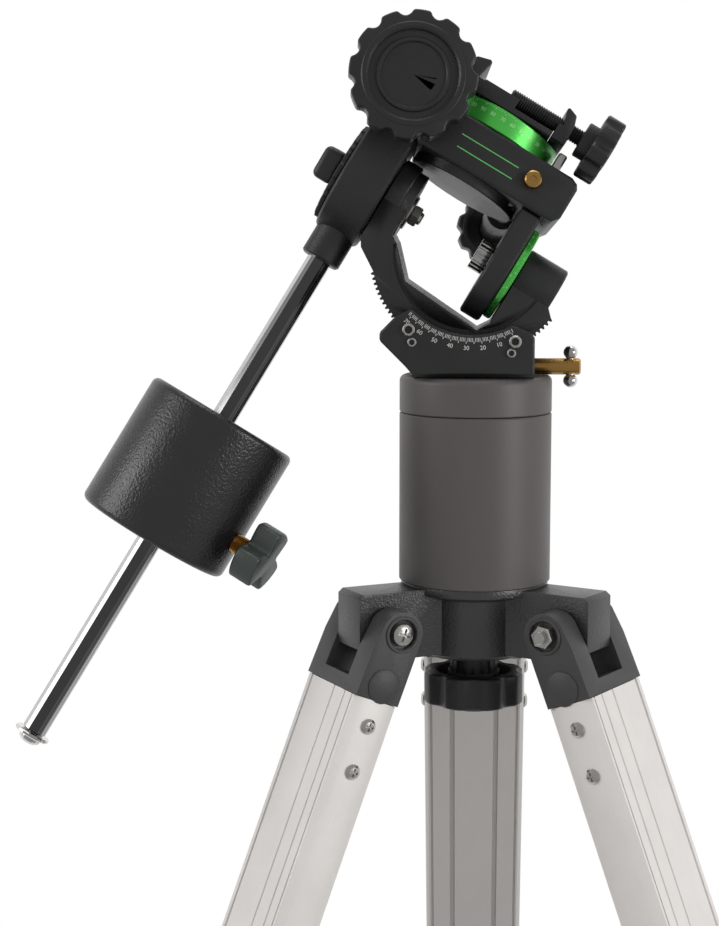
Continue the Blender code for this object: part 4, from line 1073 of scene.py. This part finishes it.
def build_dec_drive():
    outline = [(0, -15), (3, -15), (3, -10)]
    for i in range(10):
        outline += [(3.8, -9.8 + 2 * i), (4.5, -9.1 + 2 * i), (4.5, -8.7 + 2 * i)]
    outline += [(3, 10.2), (3, 97), (0, 97)]
    worm = turned("dec_worm_finished", outline, 40)
    place = axes_at(origin_of("dec_worm_turn"), x=axis_of("ra_turn"), y=axis_of("dec_worm_turn"))
    moved(worm, place @ TO_Y)
    finish(worm, "dec_worm", "machined_steel", ["dec_worm"])
    grip = scooped("grip", 19.5, 2.2, 10, 88.5, 101.5, 1.4, 10)
    hollow = turned("hollow", [(14.6, 87), (14.3, 97), (7.2, 97), (7, 87)], 64, True)
    cut(grip, hollow)
    neck = turned("neck", [(3.3, 67), (6.4, 67), (7, 67.6), (7, 92), (3.3, 92)], 48, True)
    outline = [(14.2, 89), (16.6, 89), (16.6, 88.2), (16, 87.9), (14.8, 87.9), (14.2, 88.3)]
    rim = turned("rim", outline, 64, True)
    knob = joined("dec_slow_knob_finished", grip, neck, rim)
    moved(knob, place @ TO_Y)
    finish(knob, "dec_worm", "knob_plastic", ["dec_slow_knob"])


def build_dec_axis():
    for node, slot, look in (
        ("dec_shaft", "steel", "machined_steel"),
        ("dec_worm_wheel", "brass", "machined_brass"),
    ):
        finish(refined(node, 0.4, 2, 35), "dec", look, [node])
    figures = [str(abs(90 - 10 * ((i - 7) % 18))) for i in range(36)]
    radius = size("dec_circle_radius")
    ring, marks = dial(
        "dec_setting_circle_finished", 9.3, radius, 50.8, 61.6, 180, figures, 2.7, 57.0, 60.2, 59.6
    )
    for part in (ring, marks):
        moved(part, DEC)
    finish(ring, "dec", "dial_green", ["dec_setting_circle"])
    finish(marks, "dec", "dial_marks")


def build_saddle():
    fixed = [(-31, 62.3), (23.6, 62.3), (23.6, 70), (-17, 70), (-17, 69.2), (-20.5, 69.2)]
    fixed += [(-18.4, 78.2), (-19.6, 79.2), (-26, 77.4), (-31, 71.5)]
    flat = DEC @ Matrix.Rotation(math.radians(90), 4, "X")
    base = rounded(plate("saddle_base_finished", fixed, 60, flat), 0.6, 2, 25)
    bore = moved(turned("bore", [(0, 55), (9.3, 55), (9.3, 67.3), (0, 67.3)], 64), DEC)
    room = moved(slab("room", (2, -31.5, 65), (26, -20.5, 84)), DEC)
    tunnel = turned("tunnel", [(0, -3.5), (4.3, -3.5), (4.3, 5), (0, 5)], 32)
    cut(base, bore, room, moved(tunnel, DEC @ along("X", (0, -25.5, 70))))
    finish(base, "dec", "casting_black", ["saddle_base"])
    moving = [(23.9, 62.3), (31.6, 62.3), (31.6, 71.5), (29.6, 77.4)]
    moving += [(24.8, 79.2), (23.9, 78.4), (26.2, 70.3), (23.9, 70.3)]
    jaw = rounded(plate("saddle_jaw_finished", moving, 60, flat), 0.6, 2, 25)
    tunnel = turned("tunnel", [(0, 10), (4.3, 10), (4.3, 40), (0, 40)], 32)
    cut(jaw, moved(tunnel, DEC @ along("X", (0, -25.5, 70))))
    finish(jaw, "saddle_jaw", "casting_black", ["saddle_jaw"])
    place = axes_at(origin_of("saddle_screw_turn"), x=axis_of("saddle_screw_turn"), z=axis_of("dec_turn"))
    outline = [(0, -3), (3.2, -3)]
    for i in range(40):
        outline += [(3.35, -2.6 + 1.25 * i), (3.95, -2.0 + 1.25 * i)]
    outline = [point for point in outline if point[1] < 46] + [(3.5, 47.5), (0, 48.5)]
    screw = turned("saddle_screw_finished", outline, 40)
    moved(screw, place @ TO_X)
    finish(screw, "saddle_screw", "black_oxide", ["saddle_screw"], 20)
    grip = scooped("grip", 16.7, 2.4, 8, 42.5, 52.5, 1.6, 12)
    neck = turned("neck", [(4.3, 37), (8.4, 37), (9, 37.6), (9, 44), (4.3, 44)], 48, True)
    cap = turned("cap", [(0, 52), (8.2, 52), (8.6, 52.6), (7.8, 53), (0, 53)], 48)
    knob = joined("saddle_knob_finished", grip, neck, cap)
    moved(knob, place @ TO_X)
    finish(knob, "saddle_screw", "knob_plastic", ["saddle_knob"])


# --- Counterweight ---------------------------------------------------------------------------------


def build_weight_bar():
    radius = size("bar_radius")
    outline = [(0, -315), (radius - 0.8, -315), (radius, -314.2), (radius, -31.7), (0, -31.7)]
    bar = turned("weight_bar_finished", outline, 64)
    moved(bar, WEIGHT_BAR)
    finish(bar, "ra_head", "bar_chrome", ["weight_bar"])
    outline = [(0, -321.3), (3.6, -320.9), (5, -319.9), (5.5, -318.7), (5.5, -317.3)]
    outline += [(8.3, -317.3), (8.8, -316.8), (8.8, -315.8), (8.4, -315.3)]
    outline += [(2.5, -315.3), (2.5, -302.3), (0, -302.3)]
    screw = turned("bar_safety_screw_finished", outline, 48)
    moved(screw, WEIGHT_BAR)
    finish(screw, "ra_head", "polished_chrome", ["bar_safety_screw"])


def build_counterweight():
    edge = 3.2
    wide, high = size("weight_radius") - edge, size("weight_length") / 2 - edge
    bore = size("bar_radius") + 0.3
    arc = [math.pi / 12 * i for i in range(7)]
    outline = [(bore, -high - edge)]
    outline += [(wide + edge * math.sin(a), -high - edge * math.cos(a)) for a in arc]
    outline += [(wide + edge * math.cos(a), high + edge * math.sin(a)) for a in arc]
    outline += [(bore, high + edge)]
    weight = turned("counterweight_finished", outline, 160, True)
    lock_axis = axis_of("weight_lock_turn")
    screw_place = axes_at(origin_of("weight_lock_turn"), x=lock_axis, z=axis_of("dec_turn"))
    moved(weight, WEIGHT)
    hole = turned("hole", [(0, 7), (5.3, 7), (5.3, 50), (0, 50)], 40)
    cut(weight, moved(hole, screw_place @ TO_X))
    finish(weight, "weight", "weight_black", ["counterweight"])
    outline = [(0, 6.4), (4.4, 6.4)]
    for i in range(40):
        outline += [(4.35, 7.2 + i), (4.95, 7.7 + i)]
    outline = [point for point in outline if point[1] < 54] + [(4.4, 54), (0, 54.3)]
    screw = turned("weight_lock_screw_finished", outline, 40)
    moved(screw, screw_place @ TO_X)
    finish(screw, "weight_lock", "machined_brass", ["weight_lock_screw"], 20)
    grip = scooped("grip", 16.5, 8.6, 3, 46.5, 59.2, 2.4, 24, 1.0)
    collar = turned("collar", [(5.3, 46.4), (7.6, 46.4), (8, 46.9), (8, 50), (5.3, 50)], 48, True)
    knob = joined("weight_lock_knob_finished", grip, collar)
    moved(knob, screw_place @ TO_X)
    finish(knob, "weight_lock", "wing_plastic", ["weight_lock_knob"])


# --- Stage -----------------------------------------------------------------------------------------


FLOOR_RADIUS = 1.2
FLOOR_GREY = 0.55
FLOOR_GLOW = 0.8
CAMERA_FROM_GROOVE = (0.005, -0.9637, 0.0938)
CAMERA_HEADING = (-0.0654, 0.9979)
LAMPS = (
    ("right_light", (1.3, -0.8, 0.1), 0.6, 13),
    ("left_light", (-1.4, -0.45, 0.45), 0.7, 11),
    ("top_light", (0.1, 0.1, 1.7), 1.0, 12),
)


def white_for_camera(tree, share=1.0):
    """How much of a surface is plain white to the camera and in reflections. It adds no light elsewhere."""
    path = tree.nodes.new("ShaderNodeLightPath")
    either = tree.nodes.new("ShaderNodeMath")
    either.operation = "MAXIMUM"
    tree.links.new(path.outputs["Is Camera Ray"], either.inputs[0])
    tree.links.new(path.outputs["Is Glossy Ray"], either.inputs[1])
    both = tree.nodes.new("ShaderNodeMath")
    both.operation = "MAXIMUM"
    tree.links.new(either.outputs[0], both.inputs[0])
    tree.links.new(path.outputs["Is Transmission Ray"], both.inputs[1])
    portion = tree.nodes.new("ShaderNodeMath")
    portion.operation = "MULTIPLY"
    portion.inputs[1].default_value = share
    tree.links.new(both.outputs[0], portion.inputs[0])
    return portion.outputs[0]


def build_stage(settings):
    clear_selection()
    bpy.ops.mesh.primitive_circle_add(vertices=128, radius=FLOOR_RADIUS, fill_type="NGON")
    floor = bpy.context.object
    floor.name = "floor"
    material = bpy.data.materials.new("floor_white")
    material.use_nodes = True
    tree = material.node_tree
    shader = tree.nodes["Principled BSDF"]
    shader.inputs["Base Color"].default_value = (FLOOR_GREY, FLOOR_GREY, FLOOR_GREY, 1)
    shader.inputs["Roughness"].default_value = 0.9
    glow = tree.nodes.new("ShaderNodeEmission")
    glow.inputs["Color"].default_value = (1, 1, 1, 1)
    mix = tree.nodes.new("ShaderNodeMixShader")
    tree.links.new(white_for_camera(tree, FLOOR_GLOW), mix.inputs["Fac"])
    tree.links.new(shader.outputs["BSDF"], mix.inputs[1])
    tree.links.new(glow.outputs["Emission"], mix.inputs[2])
    tree.links.new(mix.outputs["Shader"], tree.nodes["Material Output"].inputs["Surface"])
    floor.data.materials.append(material)

    world = bpy.data.worlds.new("studio")
    bpy.context.scene.world = world
    world.use_nodes = True
    tree = world.node_tree
    for node in list(tree.nodes):
        tree.nodes.remove(node)
    plain = tree.nodes.new("ShaderNodeBackground")
    plain.inputs["Color"].default_value = (1, 1, 1, 1)
    plain.inputs["Strength"].default_value = settings.room_light
    white = tree.nodes.new("ShaderNodeBackground")
    white.inputs["Color"].default_value = (1, 1, 1, 1)
    white.inputs["Strength"].default_value = 1
    mix = tree.nodes.new("ShaderNodeMixShader")
    out = tree.nodes.new("ShaderNodeOutputWorld")
    tree.links.new(white_for_camera(tree), mix.inputs["Fac"])
    tree.links.new(plain.outputs[0], mix.inputs[1])
    tree.links.new(white.outputs[0], mix.inputs[2])
    tree.links.new(mix.outputs[0], out.inputs["Surface"])

    target = Vector((0, PIER.translation.y, PIER.translation.z))
    for name, offset, width, energy in LAMPS:
        data = bpy.data.lights.new(name, "AREA")
        data.energy = energy * settings.lamp_level
        data.size = width
        lamp = bpy.data.objects.new(name, data)
        lamp.location = target + Vector(offset)
        lamp.rotation_euler = (target - lamp.location).to_track_quat("-Z", "Y").to_euler()
        bpy.context.collection.objects.link(lamp)

    data = bpy.data.cameras.new("camera")
    data.sensor_fit = "VERTICAL"
    data.sensor_height = 36
    data.lens = settings.lens
    camera = bpy.data.objects.new("camera", data)
    groove = PIER.translation - Vector((0, 0, RING_TO_GROOVE))
    camera.location = groove + Vector(CAMERA_FROM_GROOVE)
    pitch = settings.camera_pitch
    across, ahead = (part * math.cos(pitch) for part in CAMERA_HEADING)
    look = Vector((across, ahead, -math.sin(pitch)))
    camera.rotation_euler = look.to_track_quat("-Z", "Y").to_euler()
    bpy.context.collection.objects.link(camera)
    bpy.context.scene.camera = camera
    bpy.context.scene.view_settings.view_transform = "Standard"


# --- Settings, operators and panel -----------------------------------------------------------------


class MountColors(bpy.types.PropertyGroup):
    casting_color: bpy.props.FloatVectorProperty(
        name="Casting",
        description="Paint of the castings",
        subtype="COLOR",
        size=3,
        default=(0.0135, 0.0135, 0.014),
        min=0,
        max=1,
    )
    weight_color: bpy.props.FloatVectorProperty(
        name="Counterweight",
        description="Gloss paint of the weight",
        subtype="COLOR",
        size=3,
        default=(0.007, 0.007, 0.0072),
        min=0,
        max=1,
    )
    knob_color: bpy.props.FloatVectorProperty(
        name="Knobs",
        description="Moulded knobs",
        subtype="COLOR",
        size=3,
        default=(0.0085, 0.0085, 0.0085),
        min=0,
        max=1,
    )
    pier_color: bpy.props.FloatVectorProperty(
        name="Pier",
        description="Paint of the pier",
        subtype="COLOR",
        size=3,
        default=(0.085, 0.078, 0.075),
        min=0,
        max=1,
    )
    leg_color: bpy.props.FloatVectorProperty(
        name="Legs",
        description="Anodised leg extrusions",
        subtype="COLOR",
        size=3,
        default=(0.71, 0.68, 0.655),
        min=0,
        max=1,
    )
    dial_color: bpy.props.FloatVectorProperty(
        name="Dials",
        description="Anodised setting circles",
        subtype="COLOR",
        size=3,
        default=(0.045, 0.36, 0.045),
        min=0,
        max=1,
    )


class MountSizes(bpy.types.PropertyGroup):
    pier_radius: bpy.props.FloatProperty(
        name="Pier radius",
        description="Outside of the pier tube and its top ring",
        unit="LENGTH",
        subtype="DISTANCE",
        precision=4,
        min=0.001,
        default=38 * MM,
    )
    bar_radius: bpy.props.FloatProperty(
        name="Bar radius",
        description="The counterweight bar",
        unit="LENGTH",
        subtype="DISTANCE",
        precision=4,
        min=0.001,
        default=6 * MM,
    )
    weight_radius: bpy.props.FloatProperty(
        name="Weight radius",
        description="Outside of the counterweight",
        unit="LENGTH",
        subtype="DISTANCE",
        precision=4,
        min=0.001,
        default=39.4 * MM,
    )
    weight_length: bpy.props.FloatProperty(
        name="Weight length",
        description="The counterweight along its bar",
        unit="LENGTH",
        subtype="DISTANCE",
        precision=4,
        min=0.001,
        default=69.6 * MM,
    )
    ra_circle_radius: bpy.props.FloatProperty(
        name="Hour circle radius",
        description="Outside of the lower setting circle",
        unit="LENGTH",
        subtype="DISTANCE",
        precision=4,
        min=0.001,
        default=24.6 * MM,
    )
    dec_circle_radius: bpy.props.FloatProperty(
        name="Declination circle radius",
        description="Outside of the upper setting circle",
        unit="LENGTH",
        subtype="DISTANCE",
        precision=4,
        min=0.001,
        default=31.4 * MM,
    )


class MountStage(bpy.types.PropertyGroup):
    lens: bpy.props.FloatProperty(
        name="Lens",
        description="Camera focal length",
        subtype="DISTANCE_CAMERA",
        default=75.03,
    )
    camera_pitch: bpy.props.FloatProperty(
        name="Pitch",
        description="How far the camera looks down",
        subtype="ANGLE",
        default=math.radians(7.1),
    )
    room_light: bpy.props.FloatProperty(
        name="Room light",
        description="Strength of the plain room light",
        min=0,
        default=0.36,
    )
    lamp_level: bpy.props.FloatProperty(
        name="Lamps",
        description="Level of the soft lamps",
        min=0,
        default=1.0,
    )


class MOUNT_OT_finishes(bpy.types.Operator):
    """Makes the shared node groups and every material."""

    bl_idname = "mount.finishes"
    bl_label = "Finishes"
    bl_options = {"REGISTER", "UNDO"}

    def execute(self, context):
        build_finishes(context.scene.mount_colors)
        return {"FINISHED"}


class MOUNT_OT_hub(bpy.types.Operator):
    """Finishes the tripod casting."""

    bl_idname = "mount.hub"
    bl_label = "Hub"
    bl_options = {"REGISTER", "UNDO"}

    def execute(self, context):
        build_hub()
        return {"FINISHED"}


class MOUNT_OT_hub_knob(bpy.types.Operator):
    """Builds the lobed knob under the hub."""

    bl_idname = "mount.hub_knob"
    bl_label = "Hub Knob"
    bl_options = {"REGISTER", "UNDO"}

    def execute(self, context):
        build_hub_knob()
        return {"FINISHED"}


class MOUNT_OT_legs(bpy.types.Operator):
    """Builds the three legs with their brackets, locks and feet."""

    bl_idname = "mount.legs"
    bl_label = "Legs"
    bl_options = {"REGISTER", "UNDO"}

    def execute(self, context):
        for side in SIDES:
            build_leg(side)
        return {"FINISHED"}


class MOUNT_OT_pier(bpy.types.Operator):
    """Builds the pier tube and its top ring."""

    bl_idname = "mount.pier"
    bl_label = "Pier"
    bl_options = {"REGISTER", "UNDO"}

    def execute(self, context):
        build_pier()
        return {"FINISHED"}


class MOUNT_OT_azimuth_base(bpy.types.Operator):
    """Builds the base, its cheeks and scale."""

    bl_idname = "mount.azimuth_base"
    bl_label = "Azimuth Base"
    bl_options = {"REGISTER", "UNDO"}

    def execute(self, context):
        build_azimuth_base()
        return {"FINISHED"}


class MOUNT_OT_latitude_worm(bpy.types.Operator):
    """Builds the worm and T bar."""

    bl_idname = "mount.latitude_worm"
    bl_label = "Latitude Worm"
    bl_options = {"REGISTER", "UNDO"}

    def execute(self, context):
        build_latitude_worm()
        return {"FINISHED"}


class MOUNT_OT_arc(bpy.types.Operator):
    """Finishes the toothed latitude arc and the polar shaft inside it."""

    bl_idname = "mount.arc"
    bl_label = "Arc"
    bl_options = {"REGISTER", "UNDO"}

    def execute(self, context):
        build_arc()
        return {"FINISHED"}


class MOUNT_OT_clutch(bpy.types.Operator):
    """Builds the clutch knob."""

    bl_idname = "mount.clutch"
    bl_label = "Clutch"
    bl_options = {"REGISTER", "UNDO"}

    def execute(self, context):
        build_clutch()
        return {"FINISHED"}


class MOUNT_OT_ra_circle(bpy.types.Operator):
    """Builds the lower setting circle."""

    bl_idname = "mount.ra_circle"
    bl_label = "RA Circle"
    bl_options = {"REGISTER", "UNDO"}

    def execute(self, context):
        build_ra_circle()
        return {"FINISHED"}


class MOUNT_OT_ra_block(bpy.types.Operator):
    """Finishes the upper bearing block and the worm inside it."""

    bl_idname = "mount.ra_block"
    bl_label = "Bearing Block"
    bl_options = {"REGISTER", "UNDO"}

    def execute(self, context):
        build_ra_block()
        return {"FINISHED"}


class MOUNT_OT_slow_knob(bpy.types.Operator):
    """Builds the large slow motion knob."""

    bl_idname = "mount.slow_knob"
    bl_label = "Slow Motion Knob"
    bl_options = {"REGISTER", "UNDO"}

    def execute(self, context):
        build_slow_knob()
        return {"FINISHED"}


class MOUNT_OT_dec_housing(bpy.types.Operator):
    """Finishes the upper body with its trim, plug and arm."""

    bl_idname = "mount.dec_housing"
    bl_label = "Declination Body"
    bl_options = {"REGISTER", "UNDO"}

    def execute(self, context):
        build_dec_housing()
        return {"FINISHED"}


class MOUNT_OT_lower_pivot(bpy.types.Operator):
    """Builds the knurled pivot."""

    bl_idname = "mount.lower_pivot"
    bl_label = "Lower Pivot"
    bl_options = {"REGISTER", "UNDO"}

    def execute(self, context):
        build_lower_pivot()
        return {"FINISHED"}


class MOUNT_OT_dec_drive(bpy.types.Operator):
    """Builds the long worm and its knob."""

    bl_idname = "mount.dec_drive"
    bl_label = "Declination Drive"
    bl_options = {"REGISTER", "UNDO"}

    def execute(self, context):
        build_dec_drive()
        return {"FINISHED"}


class MOUNT_OT_dec_axis(bpy.types.Operator):
    """Builds the shaft, wheel and circle."""

    bl_idname = "mount.dec_axis"
    bl_label = "Declination Axis"
    bl_options = {"REGISTER", "UNDO"}

    def execute(self, context):
        build_dec_axis()
        return {"FINISHED"}


class MOUNT_OT_saddle(bpy.types.Operator):
    """Builds the dovetail saddle and its clamp."""

    bl_idname = "mount.saddle"
    bl_label = "Saddle"
    bl_options = {"REGISTER", "UNDO"}

    def execute(self, context):
        build_saddle()
        return {"FINISHED"}


class MOUNT_OT_weight_bar(bpy.types.Operator):
    """Builds the bar and its stop."""

    bl_idname = "mount.weight_bar"
    bl_label = "Weight Bar"
    bl_options = {"REGISTER", "UNDO"}

    def execute(self, context):
        build_weight_bar()
        return {"FINISHED"}


class MOUNT_OT_counterweight(bpy.types.Operator):
    """Builds the weight and its lock."""

    bl_idname = "mount.counterweight"
    bl_label = "Counterweight"
    bl_options = {"REGISTER", "UNDO"}

    def execute(self, context):
        build_counterweight()
        return {"FINISHED"}


class MOUNT_OT_stage(bpy.types.Operator):
    """Adds the floor, the lamps, the room light and the camera."""

    bl_idname = "mount.stage"
    bl_label = "Stage"
    bl_options = {"REGISTER", "UNDO"}

    def execute(self, context):
        build_stage(context.scene.mount_stage)
        return {"FINISHED"}


OPERATORS = (
    MOUNT_OT_finishes,
    MOUNT_OT_hub,
    MOUNT_OT_hub_knob,
    MOUNT_OT_legs,
    MOUNT_OT_pier,
    MOUNT_OT_azimuth_base,
    MOUNT_OT_latitude_worm,
    MOUNT_OT_arc,
    MOUNT_OT_clutch,
    MOUNT_OT_ra_circle,
    MOUNT_OT_ra_block,
    MOUNT_OT_slow_knob,
    MOUNT_OT_dec_housing,
    MOUNT_OT_lower_pivot,
    MOUNT_OT_dec_drive,
    MOUNT_OT_dec_axis,
    MOUNT_OT_saddle,
    MOUNT_OT_weight_bar,
    MOUNT_OT_counterweight,
    MOUNT_OT_stage,
)


class MOUNT_PT_panel(bpy.types.Panel):
    """Lists the mount's pieces in the sidebar."""

    bl_label = "Mount"
    bl_space_type = "VIEW_3D"
    bl_region_type = "UI"
    bl_category = "Mount"

    def draw(self, context):
        scene = context.scene
        for settings in (scene.mount_sizes, scene.mount_colors, scene.mount_stage):
            for name in type(settings).__annotations__:
                self.layout.prop(settings, name)
        for made in OPERATORS:
            self.layout.operator(made.bl_idname)


CLASSES = (MountSizes, MountColors, MountStage, *OPERATORS, MOUNT_PT_panel)


def register():
    for made in CLASSES:
        bpy.utils.register_class(made)
    bpy.types.Scene.mount_sizes = bpy.props.PointerProperty(type=MountSizes)
    bpy.types.Scene.mount_colors = bpy.props.PointerProperty(type=MountColors)
    bpy.types.Scene.mount_stage = bpy.props.PointerProperty(type=MountStage)


def unregister():
    del bpy.types.Scene.mount_sizes
    del bpy.types.Scene.mount_colors
    del bpy.types.Scene.mount_stage
    for made in reversed(CLASSES):
        bpy.utils.unregister_class(made)


def main():
    register()
    for made in OPERATORS:
        group, name = made.bl_idname.split(".")
        getattr(getattr(bpy.ops, group), name)()


if __name__ == "__main__":
    main()
